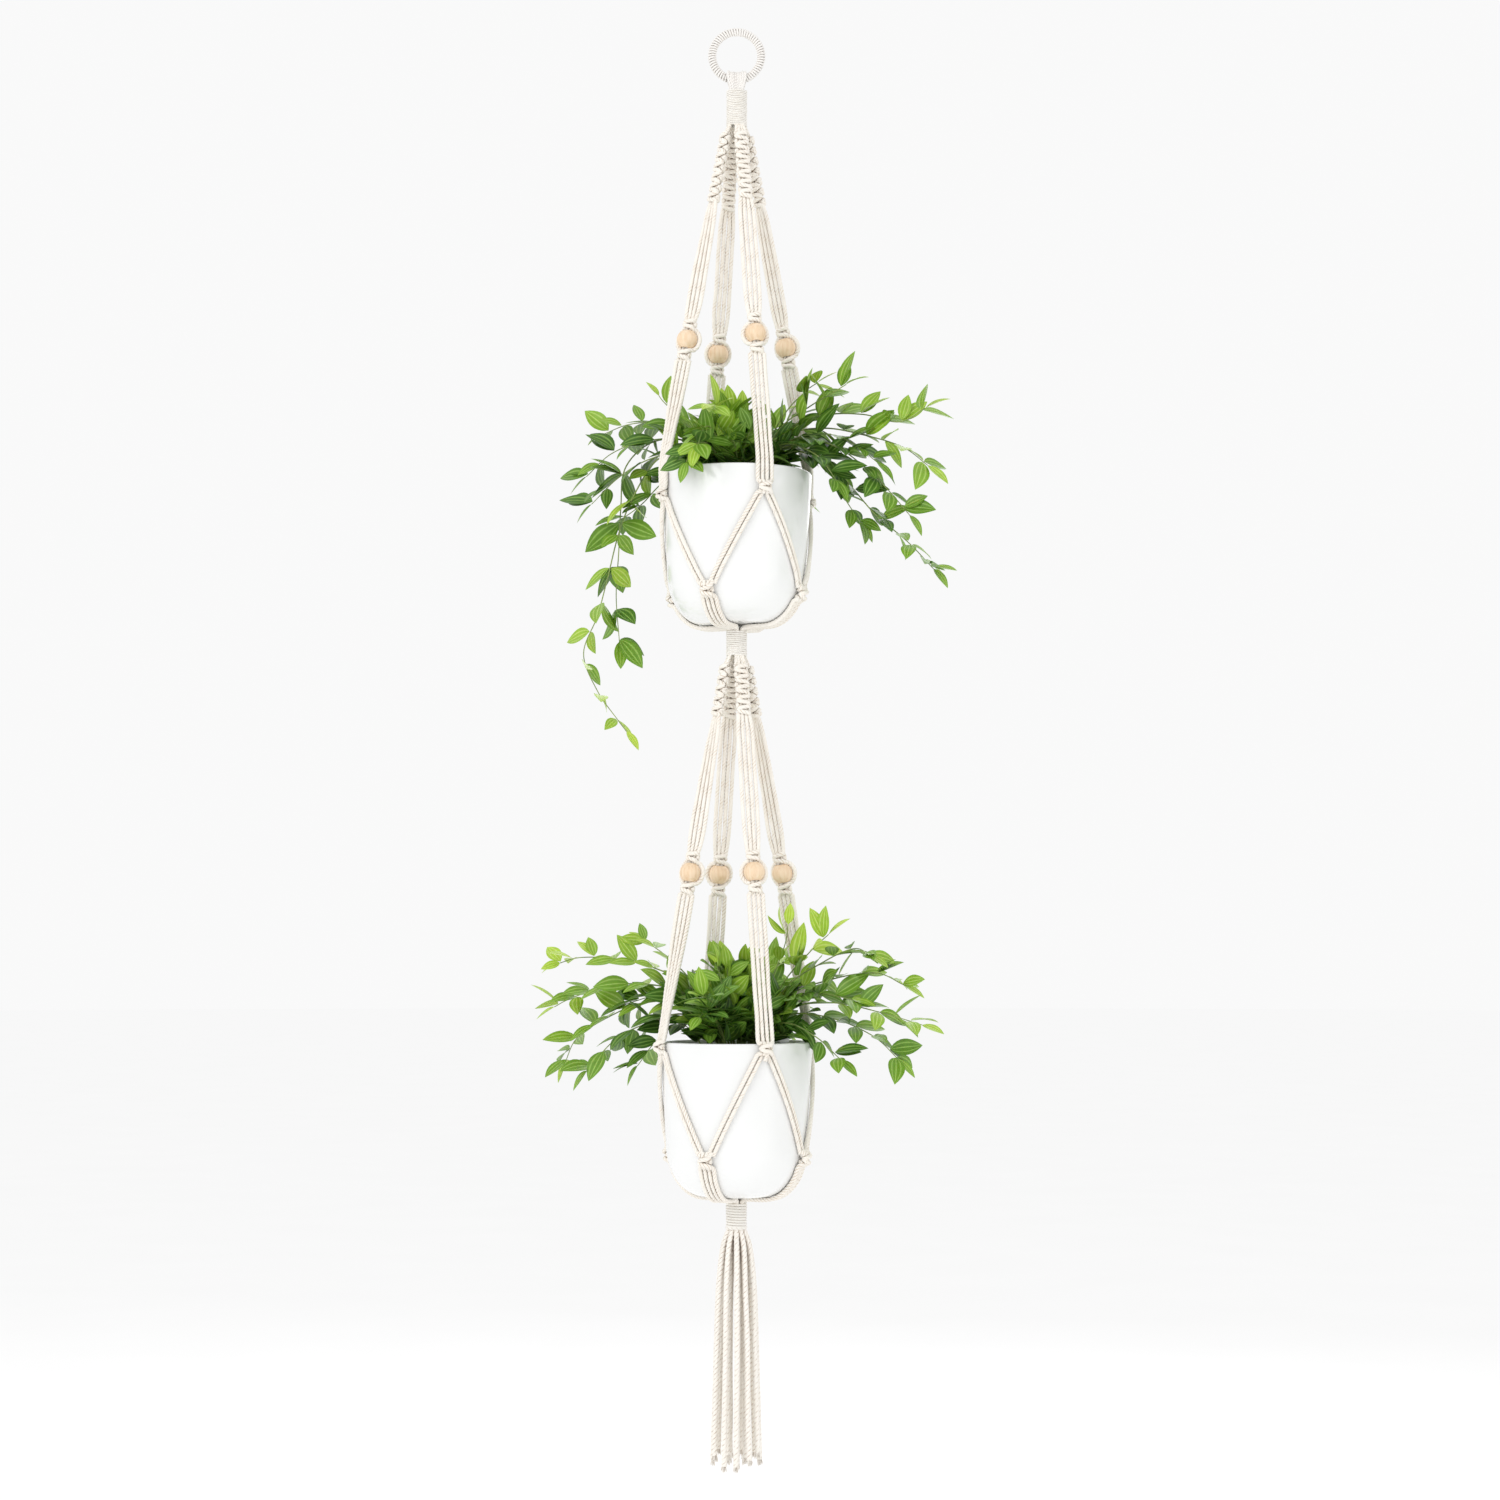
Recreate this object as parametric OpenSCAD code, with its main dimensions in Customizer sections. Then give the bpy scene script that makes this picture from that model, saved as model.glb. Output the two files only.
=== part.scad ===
// Two-tier hanging macrame planter: a wound ring, a knotted cord hanger with wooden beads,
// two round pots with plants, and a tassel.
// Origin: the point inside the top of the ring that rests on a hook. +Z is up, the front faces -Y.

/* [Tiers] */
// Height from the top wrap down to the base of the upper pot
upper_drop = 596; // [560:2:720]
// Height from the middle wrap down to the base of the lower pot
lower_drop = 627; // [590:2:750]
// Distance from the top wrap down to the upper beads
upper_bead_drop = 261; // [200:1:300]
// Distance from the middle wrap down to the lower beads
lower_bead_drop = 253; // [200:1:300]
// Number of square knots in each upper sinnet
upper_knots = 7; // [3:1:8]
// Number of square knots in each lower sinnet
lower_knots = 5; // [3:1:8]
// Height of the upper rim knots above the base of their pot
upper_rim_knot_h = 150; // [120:1:155]
// Height of the lower rim knots above the base of their pot
lower_rim_knot_h = 173; // [120:1:174]
// Height of the upper net knots above the base of their pot
upper_net_knot_h = 34; // [28:1:50]
// Height of the lower net knots above the base of their pot
lower_net_knot_h = 46; // [28:1:50]
// Length of the longest cord of the tassel
tassel_length = 277; // [200:1:340]

/* [Ring] */
// Inner radius of the wound ring
ring_inner_r = 24; // [22:0.5:30]
// Radius of the wire of the hoop
hoop_wire_r = 2.6; // [2:0.1:3.2]
// Thickness of the cord wound on the hoop
ring_winding = 2.7; // [2:0.1:3.2]

/* [Cord] */
// Diameter of one cord
cord_d = 5; // [4:0.1:5.2]
// Gap between cords that lie side by side
cord_gap = 0.5; // [0.4:0.1:0.8]
// Diameter of a cord that is squeezed through a bead
bead_core_d = 4.4; // [3.6:0.1:4.6]
// Diameter of a cord that hangs free in the tassel
tassel_cord_d = 6; // [4.5:0.1:6]

/* [Wraps] */
// Radius of the bundle of cords inside a wrap
bundle_r = 11; // [10:0.1:12]
// Thickness of a wrap
wrap_t = 1.5; // [1:0.1:2]
// Length of the top wrap
top_wrap_len = 45.5; // [30:0.5:60]
// Length of the middle wrap
mid_wrap_len = 33; // [25:1:50]
// Length of the bottom wrap
bottom_wrap_len = 33; // [25:1:50]

/* [Knots] */
// Height of one square knot
knot_len = 12.4; // [10:0.1:14]
// Thickness of a square knot from front to back
knot_t = 9.4; // [8.5:0.1:10]

/* [Beads] */
// Diameter of a bead
bead_d = 24.4; // [20:0.1:28]
// Gap between the two cords in a bead and the side of its hole
bead_gap = 0.7; // [0.4:0.1:1.2]

/* [Pots] */
// Diameter of a pot at its rim
pot_d = 178; // [160:1:210]
// Height of a pot
pot_h = 178; // [170:1:210]
// Thickness of a pot's wall
pot_wall = 4; // [3:0.1:6]
// How much the radius narrows from the rim to the rounded corner
pot_taper = 7; // [4:0.5:10]
// Height of the rounded corner at the base
pot_corner_h = 60; // [50:1:70]
// Width of the rounded corner at the base
pot_corner_w = 44; // [35:1:50]
// Depth of the soil below the rim
soil_depth = 22; // [15:1:35]

/* [Plants] */
// Height of the foliage above the rim of its pot
crown_h = 74; // [50:1:90]
// Radius of the foliage in the middle of a pot
crown_r = 50; // [35:1:52]

/* [Hidden] */
$fn = 48;
SIDES = ["front", "right", "rear", "left"];
ARM_NAMES = [for (part = ["arm", "bead", "leg"], side = SIDES) str(part, "_", side)];
TASSEL_COUNT = 16;
TASSEL_NAMES = [for (n = [1 : TASSEL_COUNT]) str("tassel_cord_", n < 10 ? "0" : "", n)];

clear = 0.4;           // gap between pieces that can move on each other
bite = 1;              // how far a cord runs into its knot
first_azimuth = 21;    // direction of the front arm, turned from the front towards the right
bead_facing = 0.35;    // share of the arm's own direction that is left in the band at a bead
sway_gap = 2.6;        // gap under a wrap that lets the tier below it sway
neck = 9;              // distance from a wrap down to the first square knot
neck_d = 8;            // diameter of the bundle of four cords above a sinnet
arm_top_r = 13.8;      // distance of a sinnet's top from the middle axis
wall_gap = 0.9;        // gap between the cords and the wall of a pot
press = 0.05;          // depth that a wrap or a winding presses into what it is wound on
CORD_REF = [1, 0.3, 0.1];

cord_r = cord_d / 2;
pitch = cord_d + cord_gap;
net_pitch = pitch + 0.6;      // the cords of a pair lie a little further apart on the wall
knot_grip = 0.3;              // how far a knot reaches past the cords that run into it
knot_w = 3 * pitch + cord_d + 2 * knot_grip;
sinnet_w = knot_w - 3;        // a sinnet between two of its knots
sinnet_t = knot_t - 1.6;
pad_half = 1.5 * pitch + cord_r + 1.6;
pot_r = pot_d / 2;
corner_r = pot_r - pot_taper;
base_r = corner_r - pot_corner_w;
bead_r = bead_d / 2;
bead_reach = bead_r + clear;
core_pitch = bead_core_d + 0.2;
bead_bore_d = core_pitch + bead_core_d + 2 * bead_gap;
bow_d = 4.4;           // diameter of a cord that runs round a bead
bow_r = bead_r + 0.45 + bow_d / 2;
bow_back = 20;         // angle that the cords round a bead are set back

ring_section_r = hoop_wire_r + ring_winding;
ring_mid_r = ring_inner_r + ring_section_r;
ring_centre_z = -ring_inner_r;
fold_z = ring_centre_z - ring_mid_r;

fold_count = 8;        // cords folded over the ring
fold_pitch = 2.8;
fold_w = 2.5;
fold_thick = 4.2;
fold_leg = 12;         // distance from the fold's middle down to the top wrap
fold_gap = 1.4;        // gap between the ring and the middle of a fold
fold_r = ring_section_r + fold_gap + fold_thick / 2;
shoulder = 3;          // height of the collar where the folds enter the top wrap

// Heights of the tiers, each measured down from the piece above it
top_wrap_z = fold_z - fold_leg;
upper_start_z = top_wrap_z - top_wrap_len;
upper_base_z = upper_start_z - upper_drop;
pad_t = cord_d + 2 * clear;
middle_wrap_z = upper_base_z - pad_t;
lower_start_z = middle_wrap_z - mid_wrap_len;
lower_base_z = lower_start_z - lower_drop;
bottom_wrap_z = lower_base_z - pad_t;
tassel_z = bottom_wrap_z - bottom_wrap_len;

// One tier: [start height, base height of its pot, bead drop, knots, rim knot height, net knot height]
UPPER = [upper_start_z, upper_base_z, upper_bead_drop, upper_knots, upper_rim_knot_h, upper_net_knot_h];
LOWER = [lower_start_z, lower_base_z, lower_bead_drop, lower_knots, lower_rim_knot_h, lower_net_knot_h];

net_steps = 6;         // straight pieces in a cord of the net, in a cord under a pot and in a pot's corner
cradle_steps = 6;
wall_steps = 10;
soil_gap = 0.3;        // gap between the soil and what it touches
crown_start = 25;      // height above the rim at which the foliage is widest
trail_r = 3;           // radius of a trailing stem
inner_count = 5;       // cords in the tassel's inner circle
outer_count = TASSEL_COUNT - inner_count;
tassel_spread = 16;    // how much wider the outer circle is at its ends

cream = [0.93, 0.9, 0.83];
leaf_green = [0.3, 0.55, 0.16];

// Directions and places round the middle axis
function radial(a) = [sin(a), -cos(a), 0];
function across(a) = [cos(a), sin(a), 0];
function place(r, a, z) = r * radial(a) + [0, 0, z];
function unit(v) = v / norm(v);
function mix(a, b, t) = a + (b - a) * t;
function azimuth(side) = first_azimuth + 90 * side;
function band_turn(a) = (a + 90) % 180 - 90;
function band_axis(turn, u) = unit(across(turn) - (across(turn) * u) * u);

// The pot's outer radius at a height above its base, and its slope there
function corner_share(h) = (pot_corner_h - h) / pot_corner_h;
function wall_r(h) = h >= pot_corner_h
    ? mix(corner_r, pot_r, (h - pot_corner_h) / (pot_h - pot_corner_h))
    : base_r + pot_corner_w * sqrt(max(0, 1 - pow(corner_share(h), 2)));
function wall_slope(h) = h >= pot_corner_h ? 0
    : pot_corner_w * corner_share(h) / (pot_corner_h * sqrt(1 - pow(corner_share(h), 2)));
function beside_wall(h, reach) = wall_r(h) + reach * sqrt(1 + pow(wall_slope(h), 2));
// A point of the rounded corner, moved out by reach, as [radius, height above the base]
function corner_point(t, reach) = let (n = unit([pot_corner_h * cos(t), -pot_corner_w * sin(t)]))
    [base_r + pot_corner_w * cos(t), pot_corner_h * (1 - sin(t))] + reach * n;
function corner_angle(h) = asin(corner_share(h));

// The line of an arm, from its first knot to the bend over the rim of the pot
function arm_top(tier, a) = place(arm_top_r, a, tier[0] - neck);
function knot_top_h(tier) = tier[4] + knot_len / 2;
function bend_h(tier) = max(pot_h + 1.5, knot_top_h(tier));
function arm_bend(tier, a) = place(pot_r + wall_gap + cord_r, a, tier[1] + bend_h(tier));
function arm_dir(tier, a) = unit(arm_bend(tier, a) - arm_top(tier, a));
function bead_place(tier, a) = let (top = arm_top(tier, a), u = arm_dir(tier, a))
    top + u * ((tier[0] - tier[2] - top[2]) / u[2]);
function bead_band(tier, a) = band_axis(bead_facing * band_turn(a), arm_dir(tier, a));

// Puts a shape's z along u and its x along b
module along(p, u, b) {
    y = cross(u, b);
    multmatrix([[b[0], y[0], u[0], p[0]], [b[1], y[1], u[1], p[1]], [b[2], y[2], u[2], p[2]], [0, 0, 0, 1]])
        children();
}

module straight_cord(a, b, d) {
    u = unit(b - a);
    along(a, u, unit(cross(u, CORD_REF))) cylinder(h = norm(b - a), d = d, $fn = 24);
}

// A tube swept along points; ref is a direction that the tube's path never takes
function tangent(path, i) = unit(path[min(i + 1, len(path) - 1)] - path[max(i - 1, 0)]);
function tube_ring(p, t, ref, r, n) = let (s = unit(cross(t, ref)), f = cross(s, t))
    [for (k = [0 : n - 1]) p + r * (cos(360 * k / n) * f + sin(360 * k / n) * s)];
module tube(path, ref, radii, n = 8) {
    last = len(path) - 1;
    points = [for (i = [0 : last])
        each tube_ring(path[i], tangent(path, i), ref, is_list(radii) ? radii[i] : radii, n)];
    sides = [for (i = [0 : last - 1], k = [0 : n - 1]) let (m = (k + 1) % n)
        each [[i * n + k, (i + 1) * n + m, i * n + m], [i * n + k, (i + 1) * n + k, (i + 1) * n + m]]];
    caps = [[for (k = [0 : n - 1]) k], [for (k = [n - 1 : -1 : 0]) last * n + k]];
    polyhedron(points, concat(sides, caps));
}

// The outline of a knot seen along its cords: flat faces and round ends
module stadium(w, t) {
    c = (w - t) / 2;
    polygon([for (k = [0 : 6]) [c + t / 2 * cos(-90 + 30 * k), t / 2 * sin(-90 + 30 * k)],
        for (k = [0 : 6]) [-c + t / 2 * cos(90 + 30 * k), t / 2 * sin(90 + 30 * k)]]);
}
module square_knot() linear_extrude(knot_len) stadium(knot_w, knot_t);
module sinnet(count) {
    linear_extrude(count * knot_len) stadium(sinnet_w, sinnet_t);
    for (i = [0 : count - 1]) translate([0, 0, (i + 0.15) * knot_len])
        linear_extrude(0.7 * knot_len) stadium(knot_w, knot_t);
}

// Four cords side by side between two bands
module flat_cords(p, p_axis, q, q_axis) for (j = [-1.5 : 1.5])
    straight_cord(p + j * pitch * p_axis, q + j * pitch * q_axis, cord_d);

module ring_hoop() color("tan") translate([0, 0, ring_centre_z]) rotate([90, 0, 0])
    rotate_extrude($fn = 64) translate([ring_mid_r, 0]) circle(hoop_wire_r, $fn = 24);

module ring_winding() color(cream) translate([0, 0, ring_centre_z]) rotate([90, 0, 0])
    rotate_extrude($fn = 64) translate([ring_mid_r, 0]) difference() {
        circle(ring_section_r, $fn = 32);
        circle(hoop_wire_r + press, $fn = 24);
    }

// Eight cords folded over the lower side of the ring, and the bundle that they make in the top wrap
module cord_fold(x) {
    rise = ring_mid_r - sqrt(pow(ring_mid_r, 2) - x * x);
    leg = fold_leg + rise;
    translate([x, 0, fold_z + rise]) rotate([90, 0, 90]) {
        rotate_extrude(angle = 180) translate([fold_r, 0]) square([fold_thick, fold_w], center = true);
        for (side = [-1, 1]) translate([side * fold_r, -leg / 2, 0])
            cube([fold_thick, leg, fold_w], center = true);
    }
}
module cord_folds() color(cream) {
    for (i = [0 : fold_count - 1]) cord_fold((i - (fold_count - 1) / 2) * fold_pitch);
    translate([0, 0, upper_start_z]) cylinder(h = top_wrap_len + bite, r = bundle_r);
    translate([0, 0, top_wrap_z]) cylinder(h = shoulder, r = bundle_r + wrap_t);
}

module wrap(z, length) color(cream) translate([0, 0, z - length]) difference() {
    cylinder(h = length, r = bundle_r + wrap_t);
    translate([0, 0, -1]) cylinder(h = length + 2, r = bundle_r - press);
}

// An arm: its sinnet, four flat cords, the knots round its bead and the cords through and round it
module arm(tier, a) color(cream) {
    top = arm_top(tier, a);
    u = arm_dir(tier, a);
    own = band_axis(band_turn(a), u);
    band = bead_band(tier, a);
    bead = bead_place(tier, a);
    sinnet_end = top + tier[3] * knot_len * u;
    upper_knot = bead - (bead_reach + knot_len) * u;
    straight_cord(top - (neck - sway_gap) * u, top + bite * u, neck_d);
    along(top, u, own) sinnet(tier[3]);
    flat_cords(sinnet_end - bite * u, own, upper_knot + bite * u, band);
    along(upper_knot, u, band) square_knot();
    along(bead + bead_reach * u, u, band) square_knot();
    for (j = [-0.5, 0.5]) along(bead - (bead_reach + bite) * u + j * core_pitch * band, u, band)
        cylinder(h = 2 * (bead_reach + bite), d = bead_core_d, $fn = 24);
    sweep = 2 * asin(min(1, (bead_reach + bite) / bow_r));
    for (side = [0, 1]) along(bead, u, band) rotate([0, 0, side == 0 ? -bow_back : 180 + bow_back])
        rotate([90, 0, 0]) rotate([0, 0, -sweep / 2])
            rotate_extrude(angle = sweep) translate([bow_r, 0]) circle(d = bow_d, $fn = 24);
}

module bead(tier, a) color("burlywood") along(bead_place(tier, a), arm_dir(tier, a), bead_band(tier, a))
    difference() {
        sphere(r = bead_r);
        translate([0, 0, -bead_r]) cylinder(h = bead_d, d = bead_bore_d);
    }

// A leg: four flat cords to the rim knot, and two pairs of cords that part over the pot's wall
module leg(tier, a) color(cream) {
    u = arm_dir(tier, a);
    bend = arm_bend(tier, a);
    start = bead_place(tier, a) + (bead_reach + knot_len - bite) * u;
    own = across(band_turn(a));
    knot_top = place(wall_r(knot_top_h(tier)) + wall_gap + cord_r, a, tier[1] + knot_top_h(tier) - 2 * bite);
    for (j = [-1.5 : 1.5]) tube([start + j * pitch * bead_band(tier, a), bend + j * pitch * own,
        knot_top + j * pitch * own], own, cord_r, 12);
    rim_knot_r = wall_r(tier[4] + knot_len / 2) + wall_gap + knot_t / 2;
    along(place(rim_knot_r, a, tier[1] + tier[4] + knot_len / 2), [0, 0, -1], across(a)) square_knot();
    for (side = [-1, 1], k = [0, 1]) net_cord(tier, a, side, k);
}

module net_cord(tier, a, side, k) {
    from_h = tier[4] - knot_len / 2 + bite;
    to_h = tier[5] + knot_len / 2 - bite;
    from_turn = (k + 0.5) * net_pitch / beside_wall(from_h, cord_r) * 180 / PI;
    to_turn = 45 - (1.5 - k) * net_pitch / beside_wall(to_h, cord_r) * 180 / PI;
    path = [for (i = [0 : net_steps]) let (t = i / net_steps, h = mix(from_h, to_h, t))
        place(beside_wall(h, cord_r + wall_gap), a + side * mix(from_turn, to_turn, t), tier[1] + h)];
    tube(path, radial(a + side * 22.5), cord_r, 8);
}

// The cradle: four net knots, the cords under the pot, and the bundle inside the wrap below it
module cradle_cord(tier, a, offset) {
    from_angle = corner_angle(tier[5] - knot_len / 2 + 2 * bite);
    reach = cord_r + clear;
    shift = offset * across(a) + [0, 0, tier[1]];
    path = concat(
        [for (i = [0 : cradle_steps]) let (p = corner_point(mix(from_angle, 90, i / cradle_steps), reach))
            place(p[0], a, p[1]) + shift],
        [place(pad_half - bite, a, -reach) + shift]);
    tube(path, across(a), cord_r, 8);
}
module cradle(tier, wrap_len) color(cream) {
    for (side = [0 : 3]) {
        a = azimuth(side) + 45;
        for (j = [-1.5 : 1.5]) cradle_cord(tier, a, j * pitch);
        t = corner_angle(tier[5]);
        p = corner_point(t, knot_t / 2 + wall_gap);
        down = unit([-pot_corner_w * sin(t), -pot_corner_h * cos(t)]);
        u = place(down[0], a, down[1]);
        along(place(p[0], a, p[1] + tier[1]) - knot_len / 2 * u, u, across(a)) square_knot();
    }
    rotate([0, 0, first_azimuth + 45]) translate([-pad_half, -pad_half, tier[1] - pad_t])
        cube([2 * pad_half, 2 * pad_half, pad_t - clear]);
    translate([0, 0, tier[1] - pad_t - wrap_len]) cylinder(h = wrap_len + bite, r = bundle_r);
}

// Outline of a pot's wall from the base up to just under the rim, set in by inset
function wall_line(inset, top_h) = concat(
    [for (i = [0 : wall_steps]) let (t = 90 * (1 - i / wall_steps))
        [base_r + (pot_corner_w - inset) * cos(t), pot_corner_h - (pot_corner_h - inset) * sin(t)]],
    [[wall_r(top_h) - inset, top_h]]);
function backwards(list) = [for (i = [len(list) - 1 : -1 : 0]) list[i]];

module pot(tier) color("white") translate([0, 0, tier[1]]) rotate_extrude($fn = 96) {
    lip_h = pot_h - pot_wall / 2;
    lip_r = wall_r(lip_h) - pot_wall / 2;
    polygon(concat([[0, 0]], wall_line(0, lip_h),
        [for (t = [30 : 30 : 150]) [lip_r + pot_wall / 2 * cos(t), lip_h + pot_wall / 2 * sin(t)]],
        backwards(wall_line(pot_wall, lip_h)), [[0, pot_wall]]));
}

module soil(tier) color([0.2, 0.14, 0.1]) translate([0, 0, tier[1]]) rotate_extrude($fn = 96) {
    fit = pot_wall + soil_gap;
    polygon(concat([[0, fit]], wall_line(fit, pot_h - soil_depth), [[0, pot_h - soil_depth]]));
}

// Foliage as plain closed forms. A spray rises from the middle, passes over the rim between
// two arms and hangs outside it: [azimuth, [reach, height above the rim, radius] points]
UPPER_SPRAYS = [
    [66, [[20, 20, 18], [70, 48, 26], [120, 55, 30], [180, 40, 30], [225, 10, 26], [250, -40, 18], [262, -85, 8]]],
    [156, [[20, 20, 18], [70, 50, 26], [115, 58, 28], [160, 40, 26], [190, 0, 18], [200, -40, 10]]],
    [246, [[20, 20, 18], [70, 46, 26], [120, 50, 30], [175, 32, 28], [212, 0, 22], [228, -40, 12]]],
    [336, [[20, 20, 18], [70, 46, 24], [100, 52, 22], [125, 44, 16], [145, 25, 8]]]];
UPPER_TRAILS = [[246, [[190, 0], [175, -60], [160, -130], [164, -190], [150, -240], [146, -300]]]];
LOWER_SPRAYS = [
    [66, [[20, 20, 18], [70, 50, 26], [120, 64, 30], [175, 60, 32], [215, 30, 28], [238, -10, 14]]],
    [156, [[20, 20, 18], [70, 52, 26], [115, 60, 28], [160, 44, 26], [190, 10, 18], [200, -25, 8]]],
    [246, [[20, 20, 18], [70, 50, 26], [120, 58, 30], [180, 50, 30], [222, 15, 28], [240, -30, 14]]],
    [336, [[20, 20, 18], [70, 48, 24], [100, 54, 22], [125, 46, 16], [145, 28, 8]]]];
LOWER_TRAILS = [[246, [[200, 20], [236, -30], [240, -60]]], [66, [[190, 20], [215, -20], [222, -60]]]];
module plant(tier, sprays, trails) color(leaf_green) translate([0, 0, tier[1] + pot_h]) {
    soil_h = -soil_depth + soil_gap;
    rotate_extrude() polygon([[0, soil_h], [crown_r * 0.6, soil_h], [crown_r * 0.8, 5],
        for (t = [0 : 15 : 90]) [crown_r * cos(t), crown_start + (crown_h - crown_start) * sin(t)]]);
    for (spray = sprays) tube([for (p = spray[1]) place(p[0], spray[0], p[1])], across(spray[0]),
        [for (p = spray[1]) p[2]], 10);
    for (trail = trails) tube([for (p = trail[1]) place(p[0], trail[0], p[1])], across(trail[0]), trail_r, 6);
}

// The tassel: an inner and an outer circle of cords. Each spreads a little and ends at its own length
// [height below the wrap, spread of the outer circle] of a hanging cord, as shares of the whole
TASSEL_ROUTE = [[0, 0], [0.08, 0.3], [0.25, 0.6], [0.5, 0.75], [0.8, 0.9], [1, 1]];
function tassel_angle(n) = n < inner_count ? 360 * n / inner_count + 10 : 360 * (n - inner_count) / outer_count;
function tassel_start_r(n) = n < inner_count ? 5.2 : 11.5;
function tassel_grow(n) = tassel_spread * (n < inner_count ? 0.4 : 1);
function tassel_share(n) = n == 0 ? 1 : 1 - 0.012 * ((n * 7) % 5);
module tassel_cord(n) color(cream) {
    path = [for (p = TASSEL_ROUTE) place(tassel_start_r(n) + tassel_grow(n) * p[1], tassel_angle(n),
        tassel_z - sway_gap - (tassel_length - sway_gap) * tassel_share(n) * p[0])];
    tube(path, [1, 0.2, 0], tassel_cord_d / 2, 8);
}

ring_hoop();
ring_winding();
cord_folds();
wrap(top_wrap_z, top_wrap_len);  // top_wrap
wrap(middle_wrap_z, mid_wrap_len);  // middle_wrap
wrap(bottom_wrap_z, bottom_wrap_len);  // bottom_wrap
for (i = [0 : 3]) {
    arm(UPPER, azimuth(i));
    bead(UPPER, azimuth(i));
    leg(UPPER, azimuth(i));
    arm(LOWER, azimuth(i));
    bead(LOWER, azimuth(i));
    leg(LOWER, azimuth(i));
}
cradle(UPPER, mid_wrap_len);  // upper_cradle
cradle(LOWER, bottom_wrap_len);  // lower_cradle
pot(UPPER);  // upper_pot
pot(LOWER);  // lower_pot
soil(UPPER);  // upper_soil
soil(LOWER);  // lower_soil
plant(UPPER, UPPER_SPRAYS, UPPER_TRAILS);  // upper_plant
plant(LOWER, LOWER_SPRAYS, LOWER_TRAILS);  // lower_plant
for (n = [0 : TASSEL_COUNT - 1]) tassel_cord(n);
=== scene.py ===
import math
import random

import bpy
import numpy as np
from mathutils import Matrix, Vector


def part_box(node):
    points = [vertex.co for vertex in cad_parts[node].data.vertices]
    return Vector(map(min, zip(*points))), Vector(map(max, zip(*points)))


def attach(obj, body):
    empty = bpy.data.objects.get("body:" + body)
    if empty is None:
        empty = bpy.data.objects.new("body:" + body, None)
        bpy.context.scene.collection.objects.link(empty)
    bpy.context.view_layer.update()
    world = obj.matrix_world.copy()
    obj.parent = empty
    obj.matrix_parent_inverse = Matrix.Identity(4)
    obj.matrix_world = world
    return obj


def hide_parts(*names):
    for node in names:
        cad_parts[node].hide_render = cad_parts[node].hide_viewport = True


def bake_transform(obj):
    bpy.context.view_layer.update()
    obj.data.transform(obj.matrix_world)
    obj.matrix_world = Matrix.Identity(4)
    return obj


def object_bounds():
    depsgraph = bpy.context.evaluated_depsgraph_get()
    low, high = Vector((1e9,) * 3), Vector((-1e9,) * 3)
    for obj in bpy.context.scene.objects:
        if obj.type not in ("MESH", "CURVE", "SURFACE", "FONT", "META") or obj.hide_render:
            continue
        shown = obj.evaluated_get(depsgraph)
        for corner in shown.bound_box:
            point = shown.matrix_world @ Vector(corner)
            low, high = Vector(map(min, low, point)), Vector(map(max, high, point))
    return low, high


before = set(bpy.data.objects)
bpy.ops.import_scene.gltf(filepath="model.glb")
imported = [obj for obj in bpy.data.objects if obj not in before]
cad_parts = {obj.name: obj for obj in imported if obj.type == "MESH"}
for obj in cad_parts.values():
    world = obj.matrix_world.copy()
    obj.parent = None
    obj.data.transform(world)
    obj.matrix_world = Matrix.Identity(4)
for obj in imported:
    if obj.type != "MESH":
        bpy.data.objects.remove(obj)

# The looks of the two-tier hanging planter. Lengths are in metres and angles in degrees. An azimuth
# is 0 at the front (-Y) and 90 on the right (+X).
cad_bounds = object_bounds()
MM = 0.001
TIERS = ("upper", "lower")
SIDES = ("front", "right", "rear", "left")
FIRST_AZIMUTH = 21      # azimuth of the front arm
CORD_D = 5.3 * MM       # thickness of a cord, over the crests of its strands
PITCH = 5.5 * MM        # from one cord to the next in a flat run of four
KNOT = 12.4 * MM        # height of one square knot
NECK = 9 * MM           # from a wrap down to the first knots of the arms below it
ARM_TOP_R = 13.8 * MM   # distance of those knots from the middle axis
BEAD_FACING = 0.35      # how an arm faces at its bead, from 0 for frontwards to 1 for outwards
SINNET_KNOTS = {"upper": 7, "lower": 5}
RIM_KNOT_H = {"upper": 150 * MM, "lower": 173 * MM}     # above the base of the tier's pot
NET_KNOT_H = {"upper": 34 * MM, "lower": 46 * MM}       # above the base of the tier's pot
BODY_ABOVE = {"upper": "head", "lower": "upper_tier"}
WRAP_ABOVE = {"upper": "top_wrap", "lower": "middle_wrap"}
WRAP_BELOW = {"upper": "middle_wrap", "lower": "bottom_wrap"}
dice = random.Random(7)


# ---------- camera ----------
CAMERA_PLACE = (0.0158, -3.277, -1.0835)
CAMERA_TILT = 94        # 90 looks level, and more looks up
CAMERA_LENS = 67.2      # focal length in millimetres, on a sensor of SENSOR_W
SENSOR_W = 36
VIEW_DEPTH = 100


def make_camera():
    data = bpy.data.cameras.new("camera")
    data.sensor_width = SENSOR_W
    data.lens = CAMERA_LENS
    data.clip_end = VIEW_DEPTH
    camera = bpy.data.objects.new("camera", data)
    bpy.context.scene.collection.objects.link(camera)
    camera.location = CAMERA_PLACE
    camera.rotation_euler = (math.radians(CAMERA_TILT), 0, 0)
    bpy.context.scene.camera = camera


make_camera()


# ---------- vectors and paths ----------
def v(*xyz):
    return np.array(xyz, float)


def unit(a):
    return a / np.linalg.norm(a)


def radial(angle):
    """The direction that points away from the middle axis at an azimuth."""
    a = math.radians(angle)
    return v(math.sin(a), -math.cos(a), 0)


def across(angle):
    """The level direction square to radial, towards a higher azimuth."""
    a = math.radians(angle)
    return v(math.cos(a), math.sin(a), 0)


def place(r, angle, z):
    return r * radial(angle) + v(0, 0, z)


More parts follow.
